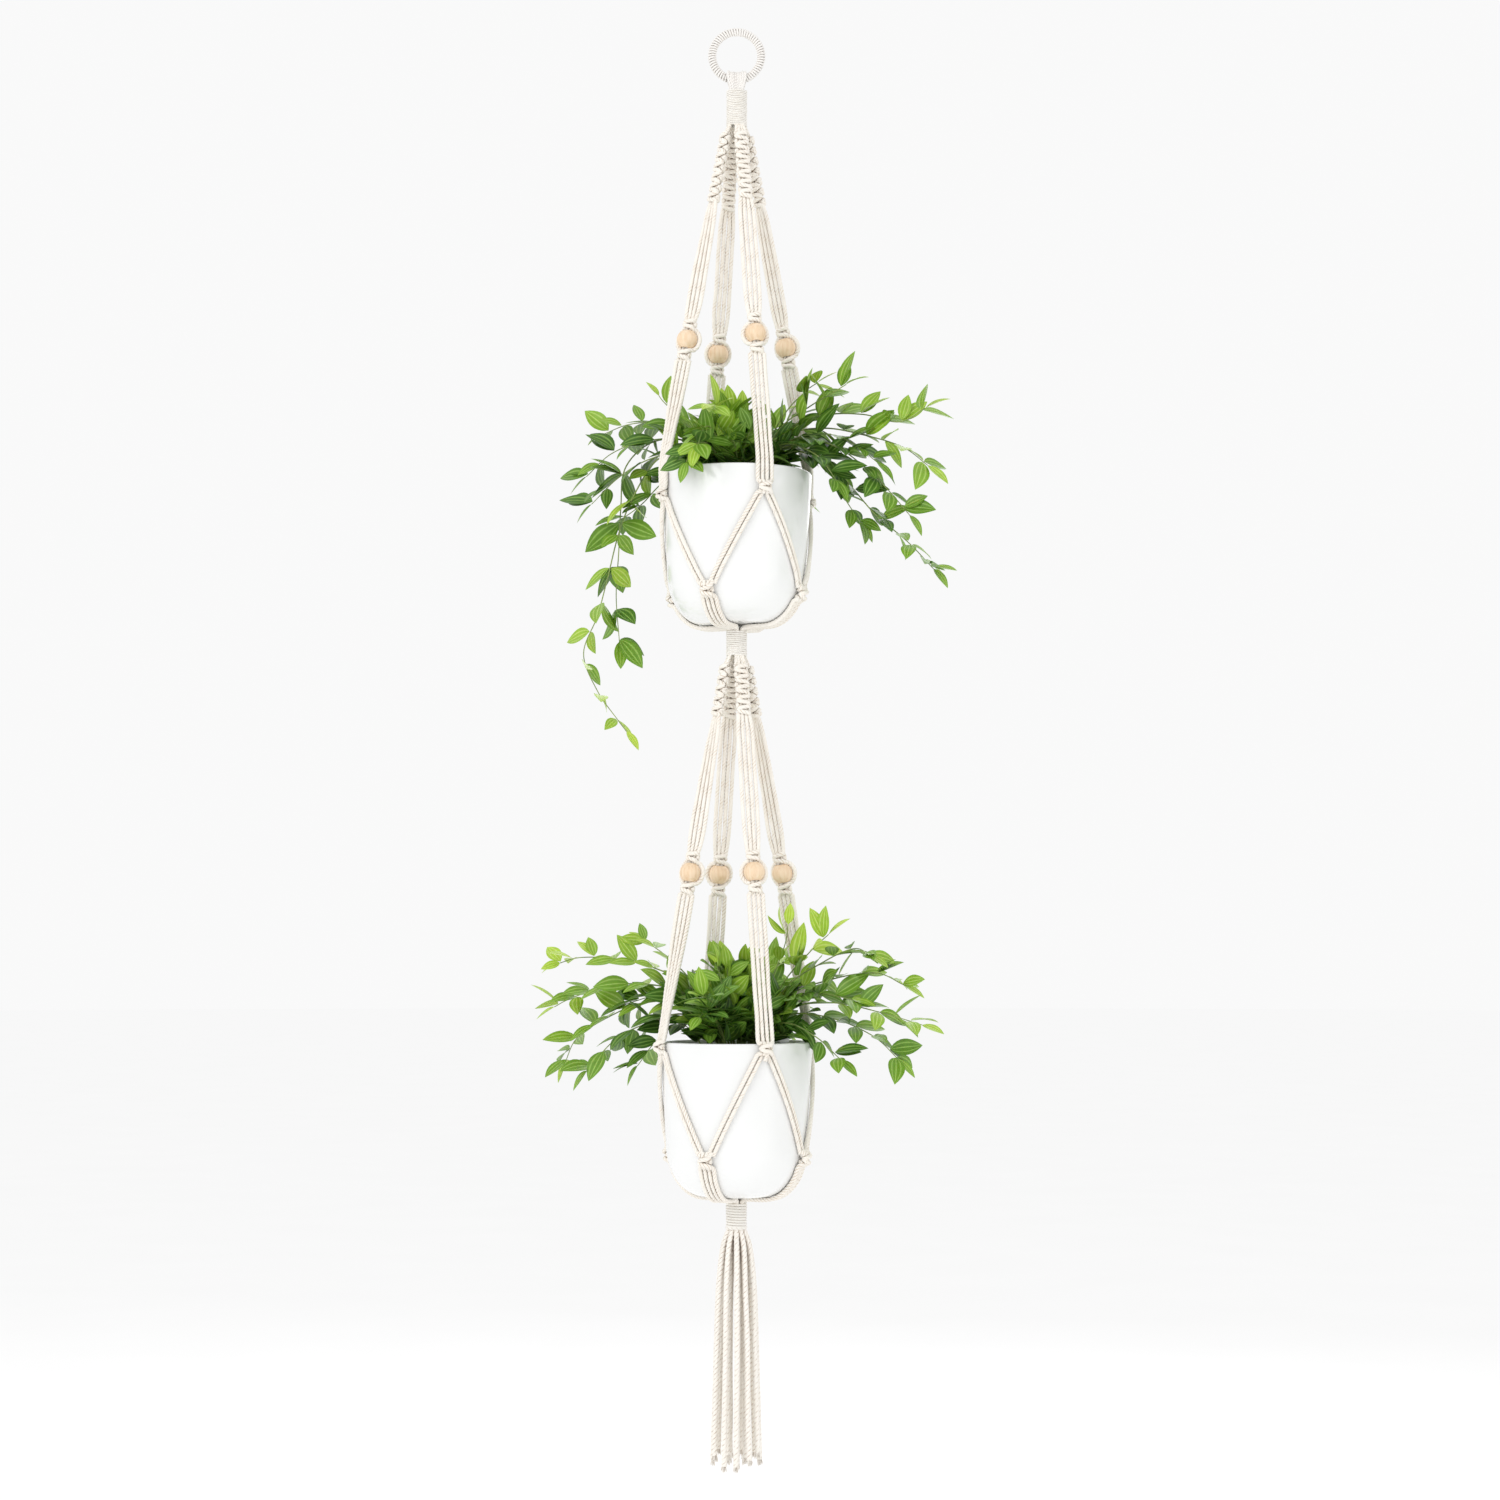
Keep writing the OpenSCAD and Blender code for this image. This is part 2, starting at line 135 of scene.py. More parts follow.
def mix(a, b, t):
    return a + (b - a) * t


def ease(t):
    """A smooth step from 0 to 1."""
    t = min(1.0, max(0.0, t))
    return t * t * (3 - 2 * t)


def distances(path):
    """The distance along a path to each of its points."""
    return np.concatenate([[0], np.cumsum(np.linalg.norm(np.diff(path, axis=0), axis=1))])


def smooth_path(points, step):
    """A Catmull-Rom curve through the points, with its own points a step apart."""
    p = np.array(points, float)
    p = np.vstack([2 * p[0] - p[1], p, 2 * p[-1] - p[-2]])
    dense = []
    for i in range(1, len(p) - 2):
        count = max(2, int(np.linalg.norm(p[i + 1] - p[i]) / step * 2))
        t = np.linspace(0, 1, count, endpoint=False)[:, None]
        a, b, c, d = p[i - 1], p[i], p[i + 1], p[i + 2]
        dense.append(0.5 * (2 * b + (c - a) * t + (2 * a - 5 * b + 4 * c - d) * t**2
                            + (3 * b - a - 3 * c + d) * t**3))
    dense = np.vstack(dense + [p[-2:-1]])
    along = distances(dense)
    count = max(3, int(along[-1] / step) + 1)
    places = np.linspace(0, along[-1], count)
    return np.stack([np.interp(places, along, dense[:, k]) for k in range(3)], 1)


def frames_along(path):
    """Two axes across the path at each of its points, carried along without a twist."""
    tangents = np.gradient(path, axis=0)
    tangents /= np.linalg.norm(tangents, axis=1)[:, None]
    start = v(1, 0.2, 0.1) if abs(tangents[0][0]) < 0.8 else v(0.1, 0.2, 1)
    first = [unit(np.cross(tangents[0], start))]
    for t in tangents[1:]:
        first.append(unit(first[-1] - first[-1].dot(t) * t))
    first = np.array(first)
    return first, np.cross(tangents, first)


# ---------- meshes ----------
FLAT_RELIEF = 0.01      # a form whose relief varies by less has no grooves


class Shape:
    """Points and faces of one piece, gathered from ropes and other forms.

    Relief is 0 at a point down between the strands and 1 at a crest, and the cotton gets painted shade
    where it is low.
    """

    def __init__(self):
        self.points, self.faces, self.relief, self.count = [], [], [], 0

    def add(self, points, faces, relief=None):
        self.points.append(np.asarray(points, float))
        self.relief.append(np.ones(len(points)) if relief is None else relief)
        self.faces.extend([tuple(i + self.count for i in f) for f in faces])
        self.count += len(points)

    def tube(self, path, radius, sides=8):
        """A plain tube; radius is one value or one for each point."""
        self.rings(path, lambda angle, along: np.ones_like(angle), radius, sides)

    def rope(self, path, diameter, strands=3, lay=2.5, depth=0.26, sides=12, turn=0.0):
        """A laid cord: its strands stand out of the surface and make a turn in lay times its thickness."""
        turn_length = lay * float(np.mean(diameter))

        def profile(angle, along):
            phase = angle + turn - 2 * math.pi * along / turn_length
            return 1 - depth + depth * np.abs(np.cos(strands * phase / 2)) ** 0.7
        self.rings(path, profile, np.asarray(diameter) / 2, sides)

    def rings(self, path, profile, radius, sides):
        """A closed tube whose radius is multiplied by profile(angle round it, distance along it)."""
        a, b = frames_along(path)
        radii = np.broadcast_to(np.asarray(radius, float), (len(path),))
        lengths = distances(path)
        angles = np.linspace(0, 2 * math.pi, sides, endpoint=False)
        points, relief = [], []
        for i, p in enumerate(path):
            share = profile(angles, lengths[i])
            r = radii[i] * share
            relief.append(share)
            points.append(p + np.outer(np.cos(angles) * r, a[i]) + np.outer(np.sin(angles) * r, b[i]))
        faces = []
        for i in range(len(path) - 1):
            for k in range(sides):
                m = (k + 1) % sides
                faces.append((i * sides + k, i * sides + m, (i + 1) * sides + m, (i + 1) * sides + k))
        last = (len(path) - 1) * sides
        faces.append(tuple(range(sides - 1, -1, -1)))
        faces.append(tuple(last + k for k in range(sides)))
        relief = np.concatenate(relief)
        spread = relief.max() - relief.min()
        if spread > FLAT_RELIEF:
            relief = (relief - relief.min()) / spread
        self.add(np.vstack(points), faces, relief)

    def lathe(self, outline, sides=96, centre=(0, 0, 0)):
        """Turns an outline of (radius, height) pairs, from radius 0 to radius 0, round the upright axis."""
        angles = np.linspace(0, 2 * math.pi, sides, endpoint=False)
        points, faces = [v(0, 0, outline[0][1])], []
        for r, z in outline[1:-1]:
            points.extend(v(r * math.cos(a), r * math.sin(a), z) for a in angles)
        points.append(v(0, 0, outline[-1][1]))
        rows = len(outline) - 2
        for k in range(sides):
            m = (k + 1) % sides
            faces.append((0, 1 + m, 1 + k))
            for i in range(rows - 1):
                a, b = 1 + i * sides, 1 + (i + 1) * sides
                faces.append((a + k, a + m, b + m, b + k))
            last = 1 + (rows - 1) * sides
            faces.append((last + k, last + m, len(points) - 1))
        self.add(np.array(points) + np.array(centre), faces)

    def make(self, name, material):
        mesh = bpy.data.meshes.new(name)
        mesh.from_pydata(np.vstack(self.points).tolist(), [], self.faces)
        mesh.polygons.foreach_set("use_smooth", [True] * len(mesh.polygons))
        relief = mesh.attributes.new("relief", "FLOAT", "POINT")
        relief.data.foreach_set("value", np.concatenate(self.relief).astype(np.float32))
        mesh.materials.append(material)
        mesh.update()
        obj = bpy.data.objects.new(name, mesh)
        bpy.context.scene.collection.objects.link(obj)
        return obj


# ---------- materials ----------
class Nodes:
    """Short names for building a node material."""

    def __init__(self, name):
        self.material = bpy.data.materials.new(name)
        self.material.use_nodes = True
        self.tree = self.material.node_tree
        self.shader = self.tree.nodes["Principled BSDF"]
        self.place = self.node("ShaderNodeTexCoord").outputs["Object"]

    def node(self, kind, **values):
        """A new node. Each value is set on the node or, where it has no such setting, on an input."""
        node = self.tree.nodes.new(kind)
        for key, value in values.items():
            if hasattr(node, key):
                setattr(node, key, value)
            else:
                node.inputs[key.replace("_", " ")].default_value = value
        return node

    def link(self, a, b):
        self.tree.links.new(a, b)

    def colour(self, source):
        self.link(source, self.shader.inputs["Base Color"])

    def noise(self, scale, detail=3, roughness=0.5, stretch=None):
        noise = self.node("ShaderNodeTexNoise", Scale=scale, Detail=detail, Roughness=roughness)
        source = self.place
        if stretch:
            mapping = self.node("ShaderNodeMapping")
            mapping.inputs["Scale"].default_value = stretch
            self.link(source, mapping.inputs["Vector"])
            source = mapping.outputs["Vector"]
        self.link(source, noise.inputs["Vector"])
        return noise.outputs["Fac"]

    def ramp(self, value, stops):
        ramp = self.node("ShaderNodeValToRGB")
        elements = ramp.color_ramp.elements
        while len(elements) < len(stops):
            elements.new(0.5)
        for element, (position, color) in zip(elements, stops):
            element.position = position
            element.color = (*color, 1)
        self.link(value, ramp.inputs["Fac"])
        return ramp.outputs["Color"]

    def blend(self, mode, factor, a, b):
        mixer = self.node("ShaderNodeMix", data_type="RGBA", blend_type=mode)
        mixer.inputs["Factor"].default_value = factor
        self.link(a, mixer.inputs["A"])
        self.link(b, mixer.inputs["B"])
        return mixer.outputs["Result"]

    def bump(self, height, strength, distance):
        bump = self.node("ShaderNodeBump", Strength=strength, Distance=distance)
        self.link(height, bump.inputs["Height"])
        self.link(bump.outputs["Normal"], self.shader.inputs["Normal"])

    def set(self, **values):
        for key, value in values.items():
            self.shader.inputs[key.replace("_", " ")].default_value = value


def cotton_material(name, light, dark, groove_shade, own_piece=True, reach=3.5 * MM, open_at=0.5):
    """Cotton with painted shade: it darkens to a warm brown in the grooves between its strands and where
    cords lie close together.

    Own_piece is whether only cords of the same piece count as close. Within reach, the painted brown shade
    fades out as the open share round a point grows to open_at.
    """
    n = Nodes(name)
    patches = n.ramp(n.noise(45, 4), [(0.3, dark), (0.7, light)])
    fibres = n.ramp(n.noise(1500, 3, 0.7), [(0.3, (0.86, 0.85, 0.83)), (0.65, (1, 1, 1))])
    colour = n.blend("MULTIPLY", 0.7, patches, fibres)
    relief = n.node("ShaderNodeAttribute", attribute_name="relief")
    # Painted shade: warm brown in the grooves of the rope, read from its relief.
    strands = n.ramp(relief.outputs["Fac"], [(0.0, groove_shade), (0.5, (1, 1, 1))])
    # Painted shade: an ambient occlusion node browns the cotton where cords lie close together.
    near = n.node("ShaderNodeAmbientOcclusion", samples=6, only_local=own_piece, Distance=reach)
    painted_seam_shade = n.ramp(near.outputs["AO"], [(0.05, (0.4, 0.28, 0.18)), (open_at, (1, 1, 1))])
    n.colour(n.blend("MULTIPLY", 0.85, n.blend("MULTIPLY", 1.0, colour, strands), painted_seam_shade))
    n.set(Roughness=0.92, Sheen_Weight=0.25, Sheen_Roughness=0.5, Specular_IOR_Level=0.2)
    n.bump(n.noise(2200, 4, 0.7), 0.55, 0.0004)
    return n.material


def wood_material():
    n = Nodes("bead_wood")
    grain = n.noise(260, 5, 0.6, (1, 1, 0.12))
    n.colour(n.ramp(grain, [(0.3, (0.73, 0.51, 0.31)), (0.5, (0.83, 0.63, 0.43)),
                            (0.7, (0.88, 0.71, 0.52))]))
    n.set(Roughness=0.42, Coat_Weight=0.12, Coat_Roughness=0.3)
    n.bump(grain, 0.12, 0.0005)
    return n.material


def glaze_material():
    n = Nodes("pot_glaze")
    n.colour(n.ramp(n.noise(8, 3), [(0.3, (0.83, 0.835, 0.83)), (0.7, (0.86, 0.865, 0.86))]))
    n.set(Roughness=0.22, Coat_Weight=0.5, Coat_Roughness=0.12, Specular_IOR_Level=0.5)
    n.bump(n.noise(22, 2), 0.06, 0.002)
    return n.material


def soil_material():
    n = Nodes("soil")
    n.colour(n.ramp(n.noise(220, 6, 0.7), [(0.3, (0.015, 0.01, 0.007)), (0.55, (0.06, 0.04, 0.025)),
                                           (0.8, (0.16, 0.11, 0.07))]))
    n.set(Roughness=0.95)
    n.bump(n.noise(400, 6, 0.7), 0.9, 0.003)
    return n.material


def steel_material():
    n = Nodes("hoop_steel")
    n.colour(n.ramp(n.noise(300, 3), [(0.3, (0.45, 0.45, 0.45)), (0.7, (0.62, 0.62, 0.62))]))
    n.set(Metallic=1.0, Roughness=0.35)
    return n.material


# Paleness across a leaf, from edge to edge, with a peak at each vein
VEIN_POINTS = ((0.0, 0.1), (0.17, 0.15), (0.23, 0.85), (0.29, 0.15), (0.44, 0.1), (0.5, 1.0), (0.56, 0.1),
               (0.71, 0.15), (0.77, 0.85), (0.83, 0.15))


def leaf_material():
    """Green with three pale veins along the leaf. The u of the leaf's own map runs across it."""
    n = Nodes("leaf")
    maps = n.node("ShaderNodeUVMap", uv_map="leaf")
    parts = n.node("ShaderNodeSeparateXYZ")
    n.link(maps.outputs["UV"], parts.inputs["Vector"])
    veins = n.node("ShaderNodeFloatCurve")
    curve = veins.mapping.curves[0]
    for x, y in VEIN_POINTS:
        curve.points.new(x, y)
    curve.points[-1].location = (1.0, 0.1)
    curve.points[0].location = (0.0, 0.1)
    veins.mapping.update()
    n.link(parts.outputs["X"], veins.inputs["Value"])
    shade = n.node("ShaderNodeAttribute", attribute_name="tone")
    green = n.ramp(shade.outputs["Fac"], [(0.0, (0.008, 0.035, 0.004)), (0.35, (0.045, 0.14, 0.008)),
                                          (0.65, (0.17, 0.35, 0.014)), (1.0, (0.42, 0.62, 0.03))])
    pale = n.ramp(shade.outputs["Fac"], [(0.0, (0.12, 0.25, 0.05)), (0.5, (0.3, 0.5, 0.1)),
                                         (1.0, (0.66, 0.8, 0.2))])
    mixer = n.node("ShaderNodeMix", data_type="RGBA")
    n.link(veins.outputs["Value"], mixer.inputs["Factor"])
    n.link(green, mixer.inputs["A"])
    n.link(pale, mixer.inputs["B"])
    mottle = n.ramp(n.noise(160, 4), [(0.3, (0.85, 0.85, 0.85)), (0.7, (1.1, 1.1, 1.1))])
    n.colour(n.blend("MULTIPLY", 0.6, mixer.outputs["Result"], mottle))
    n.set(Roughness=0.38, Specular_IOR_Level=0.32, Subsurface_Weight=0.08, Subsurface_Scale=0.002)
    n.bump(veins.outputs["Value"], 0.3, 0.0006)
    return n.material


def stem_material():
    n = Nodes("stem")
    n.colour(n.ramp(n.noise(60, 3), [(0.3, (0.12, 0.2, 0.05)), (0.7, (0.3, 0.38, 0.1))]))
    n.set(Roughness=0.5)
    return n.material


# In each cotton the last colour is the painted shade in the grooves between strands. The tassel's painted
# shade also darkens between neighbouring cords.
COTTON = cotton_material("cotton", (0.95, 0.915, 0.855), (0.925, 0.875, 0.8), (0.66, 0.53, 0.4))
TASSEL_COTTON = cotton_material("tassel_cotton", (0.96, 0.93, 0.88), (0.935, 0.895, 0.83),
                                (0.5, 0.38, 0.27), own_piece=False, reach=7 * MM, open_at=0.85)
RING_COTTON = cotton_material("ring_cotton", (0.94, 0.92, 0.895), (0.89, 0.865, 0.835), (0.4, 0.34, 0.3))
WRAP_COTTON = cotton_material("wrap_cotton", (0.92, 0.9, 0.86), (0.88, 0.855, 0.8), (0.66, 0.57, 0.48))
WOOD = wood_material()
GLAZE = glaze_material()
SOIL = soil_material()
STEEL = steel_material()
LEAF = leaf_material()
STEM = stem_material()


def finish_piece(obj, body, nodes=()):
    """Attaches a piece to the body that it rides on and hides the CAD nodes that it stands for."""
    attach(obj, body)
    if nodes:
        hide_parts(*nodes)
    return obj


# ---------- where things are ----------
class Tier:
    """The places of one tier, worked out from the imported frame."""

    def __init__(self, name):
        self.name = name
        self.body = name + "_tier"
        self.above, self.below = BODY_ABOVE[name], WRAP_BELOW[name]
        self.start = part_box(WRAP_ABOVE[name])[0][2]
        low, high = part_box(name + "_pot")
        self.base, self.rim, self.pot_r = low[2], high[2], (high[0] - low[0]) / 2
        self.pot_h = self.rim - self.base
        self.corner_h, self.corner_w = 60 * MM, 44 * MM
        self.taper, self.wall = 7 * MM, 4 * MM
        self.corner_r = self.pot_r - self.taper
        self.base_r = self.corner_r - self.corner_w
        self.rim_knot, self.net_knot = RIM_KNOT_H[name], NET_KNOT_H[name]
        self.knots = SINNET_KNOTS[name]

    def wall_r(self, h):
        """The pot's outer radius at height h above its base."""
        if h >= self.corner_h:
            return mix(self.corner_r, self.pot_r, (h - self.corner_h) / (self.pot_h - self.corner_h))
        share = (self.corner_h - h) / self.corner_h
        return self.base_r + self.corner_w * math.sqrt(max(0, 1 - share * share))

    def corner_point(self, t, reach):
        """A point of the rounded corner at angle t, moved out by reach, as (radius, height)."""
        t = math.radians(t)
        n = unit(v(self.corner_h * math.cos(t), -self.corner_w * math.sin(t)))
        return v(self.base_r + self.corner_w * math.cos(t), self.corner_h * (1 - math.sin(t))) + reach * n

    def corner_angle(self, h):
        """The angle round the corner at height h, from 0 at its top to 90 at the base."""
        return math.degrees(math.asin(max(-1, min(1, (self.corner_h - h) / self.corner_h))))


RIM_GAP = 0.9 * MM      # between a cord and the pot's rim
RIM_CLEAR = 1.5 * MM    # height of an arm's bend over the rim, and its gap to the wall at its end
BAND_STEADY = 25 * MM   # stretch on each side of a bead in which the band doesn't turn


class Arm:
    """The line of one arm and leg, with the band that its four cords lie in."""

    def __init__(self, tier, side):
        self.tier, self.side = tier, side
        self.angle = FIRST_AZIMUTH + 90 * SIDES.index(side)
        self.own_turn = (self.angle + 90) % 180 - 90
        self.top = place(ARM_TOP_R, self.angle, tier.start - NECK)
        low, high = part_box(f"{tier.name}_bead_{side}")
        self.bead = (np.array(low) + np.array(high)) / 2
        self.bead_r = (high[0] - low[0]) / 2
        self.u = unit(self.bead - self.top)
        self.bead_s = np.linalg.norm(self.bead - self.top)
        knot_top_h = tier.rim_knot + KNOT / 2
        bend_h = max(tier.pot_h + RIM_CLEAR, knot_top_h)
        self.bend = place(tier.pot_r + RIM_GAP + CORD_D / 2, self.angle, tier.base + bend_h)
        self.bend_s = (self.bend - self.top).dot(self.u)
        end_r = tier.wall_r(knot_top_h) + RIM_CLEAR + CORD_D / 2
        self.end = place(end_r, self.angle, tier.base + knot_top_h)
        self.end_s = self.bend_s + np.linalg.norm(self.end - self.bend)

    def band(self, s):
        """The direction across the four cords at distance s down the arm."""
        if s < self.bead_s:
            share = mix(1, BEAD_FACING, ease(s / (self.bead_s - BAND_STEADY)))
        else:
            past, rest = s - self.bead_s - BAND_STEADY, self.end_s - self.bead_s - BAND_STEADY
            share = mix(BEAD_FACING, 1, ease(past / rest))
        axis = across(share * self.own_turn)
        return unit(axis - axis.dot(self.u) * self.u)

    def at(self, s, x, y):
        """The point at distance s down the arm, x across its band and y out of its face."""
        band = self.band(s)
        centre = self.top + self.u * min(s, self.bend_s)
        if s > self.bend_s:
            centre = centre + unit(self.end - self.bend) * (s - self.bend_s)
        return centre + band * x + np.cross(self.u, band) * y


# ---------- square knots ----------
KNOT_X = 6.1 * MM       # how far a working cord swings to each side
KNOT_Y = 3.8 * MM       # how far it stands out where it crosses the core
CORE_X = 2.2 * MM       # half the distance between the two core cords in a knot


def crossings(start, count, side):
    """A working cord's points (s, x, y) through count half knots.

    It swings from side to side, starting on the given side, and stays on the face of that sign.
    """
    points, half = [], KNOT / 2
    for i in range(count):
        at = side * (-1) ** i
        s = start + i * half
        points += [(s + 0.05 * half, at * KNOT_X, side * 0.15 * KNOT_Y),
                   (s + 0.36 * half, at * 0.68 * KNOT_X, side * 0.95 * KNOT_Y),
                   (s + 0.64 * half, -at * 0.68 * KNOT_X, side * 0.95 * KNOT_Y),
                   (s + 0.95 * half, -at * KNOT_X, side * 0.15 * KNOT_Y)]
    return points


def wobble(amount=0.35):
    """A small random shift; the amount is in millimetres."""
    return dice.uniform(-amount, amount) * MM


BEAD_GAP = 0.4 * MM     # between a bead and the knots on either side of it
BOW_GAP = 2.8 * MM      # from a bead's surface to the middle of a cord that goes round it


def arm_route(arm, side, outer):
    """One cord of an arm, as (s, x, y), from its first knot to the knot under its bead."""
    knots_end = arm.tier.knots * KNOT
    knot_1 = arm.bead_s - arm.bead_r - BEAD_GAP - KNOT
    knot_2 = arm.bead_s + arm.bead_r + BEAD_GAP
    flat = [knots_end + (knot_1 - knots_end) * t for t in (0.12, 0.35, 0.6, 0.85)]
    if outer:
        route = crossings(0, 2 * arm.tier.knots, side)
        route += [(s, side * 1.5 * PITCH + wobble(), wobble()) for s in flat]
        route += crossings(knot_1, 2, side)
        bow = arm.bead_r + BOW_GAP
        for a in (-48, -24, 0, 24, 48):
            c = bow * math.cos(math.radians(a))
            route.append((arm.bead_s + bow * math.sin(math.radians(a)), side * c * 0.94, -c * 0.34))
        route += crossings(knot_2, 2, side)
        return route + [(knot_2 + KNOT + 1 * MM, side * 1.4 * PITCH, 0)]
    route = [(s, side * CORE_X, 0) for s in np.linspace(0, knots_end, 6)]
    route += [(s, side * 0.5 * PITCH + wobble(), wobble()) for s in flat]
    in_bead = (arm.bead_s - 8 * MM, arm.bead_s + 8 * MM)
    route += [(s, side * CORE_X, 0) for s in (knot_1, *in_bead, knot_2 + KNOT)]
    return route + [(knot_2 + KNOT + 1 * MM, side * 0.5 * PITCH, 0)]


ROPE_STEP = 1.1 * MM                # from one ring of a rope's points to the next
LOOSE_END = ("lower", "front")      # the leg whose rim knot shows the end of a cord


def make_arm(tier, arm):
    shape = Shape()
    for side in (-1, 1):
        for outer in (False, True):
            route = smooth_path(arm_route(arm, side, outer), ROPE_STEP)
            along = route[:, 0]
            knotted = outer & ((along < tier.knots * KNOT) | (along > arm.bead_s - arm.bead_r - KNOT))
            path = np.array([arm.at(*p) for p in route])
            shape.rope(path, CORD_D * np.where(knotted, 1.07, 0.95), turn=dice.uniform(0, 6))
    name = f"{tier.name}_arm_{arm.side}"
    finish_piece(shape.make(name + "_cords", COTTON), tier.body, [name])


def wall_knot(centre, down, cross, shape, before, after):
    """One square knot on a pot's wall: four cords come in at before, cross and leave at after."""
    out = np.cross(down, cross)
    for j, side, outer in ((0, -1, True), (1, -1, False), (2, 1, False), (3, 1, True)):
        if outer:
            route = crossings(-KNOT / 2, 2, side)
        else:
            route = [(s, side * CORE_X, 0) for s in (-KNOT / 2, 0, KNOT / 2)]
        knot = [centre + down * s + cross * x + out * y for s, x, y in route]
        path = smooth_path(list(before[j]) + knot + list(after[j]), ROPE_STEP)
        shape.rope(path, CORD_D * (1.0 if outer else 0.93), turn=dice.uniform(0, 6))


RIM_KNOT_OUT = 6.6 * MM     # from the pot's wall to the middle of a rim knot


def make_leg(tier, arm):
    shape = Shape()
    start = arm.bead_s + arm.bead_r + BEAD_GAP + KNOT
    angle, own = arm.angle, across(arm.own_turn)
    down = v(0, 0, -1)
    knot_r = tier.wall_r(tier.rim_knot) + RIM_KNOT_OUT
    centre = place(knot_r, angle, tier.base + tier.rim_knot)
    steps = np.linspace(start + 0.5 * MM, arm.end_s - 3 * MM, 7)
    before, after = [], []
    for j, side, k in ((0, -1, 1), (1, -1, 0), (2, 1, 0), (3, 1, 1)):
        x = (j - 1.5) * PITCH
        before.append([arm.at(s, x + wobble(), wobble(0.2)) for s in steps])
        sign = side if own.dot(across(angle)) > 0 else -side
        after.append(net_route(tier, angle, sign, k))
    wall_knot(centre, down, own, shape, before, after)
    if (tier.name, arm.side) == LOOSE_END:
        falls = ((4 * MM, 0), (9 * MM, 0.4 * MM), (14.5 * MM, -1.5 * MM))
        end = [centre + down * s + own * x for s, x in falls]
        shape.rope(smooth_path(end, ROPE_STEP), CORD_D * 0.9)
    name = f"{tier.name}_leg_{arm.side}"
    finish_piece(shape.make(name + "_cords", COTTON), tier.body, [name])


NET_PITCH = 6.1 * MM    # from one cord of a pair to the other
NET_GAP = 0.7 * MM      # between a cord of the net and the pot's wall


def net_route(tier, angle, side, k):
    """A cord from a rim knot down the pot's wall to the next net knot.

    k is 0 for the cord of its pair that starts nearer to the middle of the rim knot.
    """
    from_h, to_h = tier.rim_knot - KNOT / 2 - 1.5 * MM, tier.net_knot + KNOT / 2 - 1 * MM
    from_turn = math.degrees((k + 0.5) * NET_PITCH / (tier.wall_r(from_h) + 3 * MM))
    to_turn = 45 - math.degrees((1.5 - k) * NET_PITCH / (tier.wall_r(to_h) + 3 * MM))
    points = []
    for t in np.linspace(0, 1, 8):
        h = mix(from_h, to_h, t)
        azimuth = angle + side * mix(from_turn, to_turn, t)
        points.append(place(tier.wall_r(h) + NET_GAP + CORD_D / 2, azimuth, tier.base + h))
    return points


NET_KNOT_OUT = 6.4 * MM     # from the pot's corner to the middle of a net knot


def make_cradle(tier):
    shape = Shape()
    wrap_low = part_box(tier.below)[0][2]
    t = tier.corner_angle(tier.net_knot)
    r, h = tier.corner_point(t, NET_KNOT_OUT)
    top_t = tier.corner_angle(min(tier.corner_h, tier.net_knot + KNOT * 0.75))
    top_r, top_h = tier.corner_point(top_t, 3.6 * MM)
    for quarter in range(4):
        angle = FIRST_AZIMUTH + 45 + 90 * quarter
        rad = math.radians(t)
        fall = unit(v(-tier.corner_w * math.sin(rad), -tier.corner_h * math.cos(rad)))
        down = unit(place(fall[0], angle, fall[1]))
        before, after = [], []
        for j in range(4):
            x = (j - 1.5) * PITCH
            before.append([place(top_r, angle, top_h + tier.base) + across(angle) * x])
            after.append(under_route(tier, angle, x, wrap_low))
        wall_knot(place(r, angle, h + tier.base), down, across(angle), shape, before, after)
    name = tier.name + "_cradle"
    finish_piece(shape.make(name + "_cords", COTTON), tier.body, [name])


def under_route(tier, angle, x, wrap_low):
    """A cord from a net knot round the base of the pot and down into the wrap."""
    reach = CORD_D / 2 + 0.5 * MM
    from_t = tier.corner_angle(tier.net_knot - KNOT / 2 - 3 * MM)
    points = []
    for t in np.linspace(from_t, 90, 6):
        r, h = tier.corner_point(t, reach)
        points.append(place(r, angle, h + tier.base) + across(angle) * x)
    inner = 0.62 * x
    points.append(place(22 * MM, angle, tier.base - reach - 0.2 * MM) + across(angle) * x * 0.95)
    points.append(place(12 * MM, angle, tier.base - reach - 1.0 * MM) + across(angle) * inner)
    points.append(place(7.6 * MM, angle, tier.base - 10 * MM) + across(angle) * inner * 0.8)
    points.append(place(7.0 * MM, angle, wrap_low + 3 * MM) + across(angle) * inner * 0.8)
    return points


# ---------- beads, pots and soil ----------
def make_bead(tier, arm):
    """A ball with a hole along its arm and a small lip at each end of the hole."""
    name = f"{tier.name}_bead_{arm.side}"
    bore, r, chamfer = 5.2 * MM, arm.bead_r, 0.7 * MM
    outline = []
    lip = math.degrees(math.asin((bore + chamfer) / r))
    for a in np.linspace(lip, 180 - lip, 40):
        outline.append((r * math.sin(math.radians(a)), r * math.cos(math.radians(a))))
    hole_z = outline[0][1] - 0.6 * chamfer
    ring = [(bore, hole_z)] + outline + [(bore, -hole_z)]
    axis, side = arm.u, arm.band(arm.bead_s)
    other = np.cross(axis, side)
    sides = 48
    points, faces = [], []
    for q, z in ring:
        for k in range(sides):
            a = 2 * math.pi * k / sides
            points.append(arm.bead - axis * z + side * q * math.cos(a) + other * q * math.sin(a))
    rows = len(ring)
    for i in range(rows):
        for k in range(sides):
            m, n = (k + 1) % sides, (i + 1) % rows
            faces.append((i * sides + k, n * sides + k, n * sides + m, i * sides + m))
    shape = Shape()
    shape.add(points, faces)
    finish_piece(shape.make(name + "_turned", WOOD), name, [name])


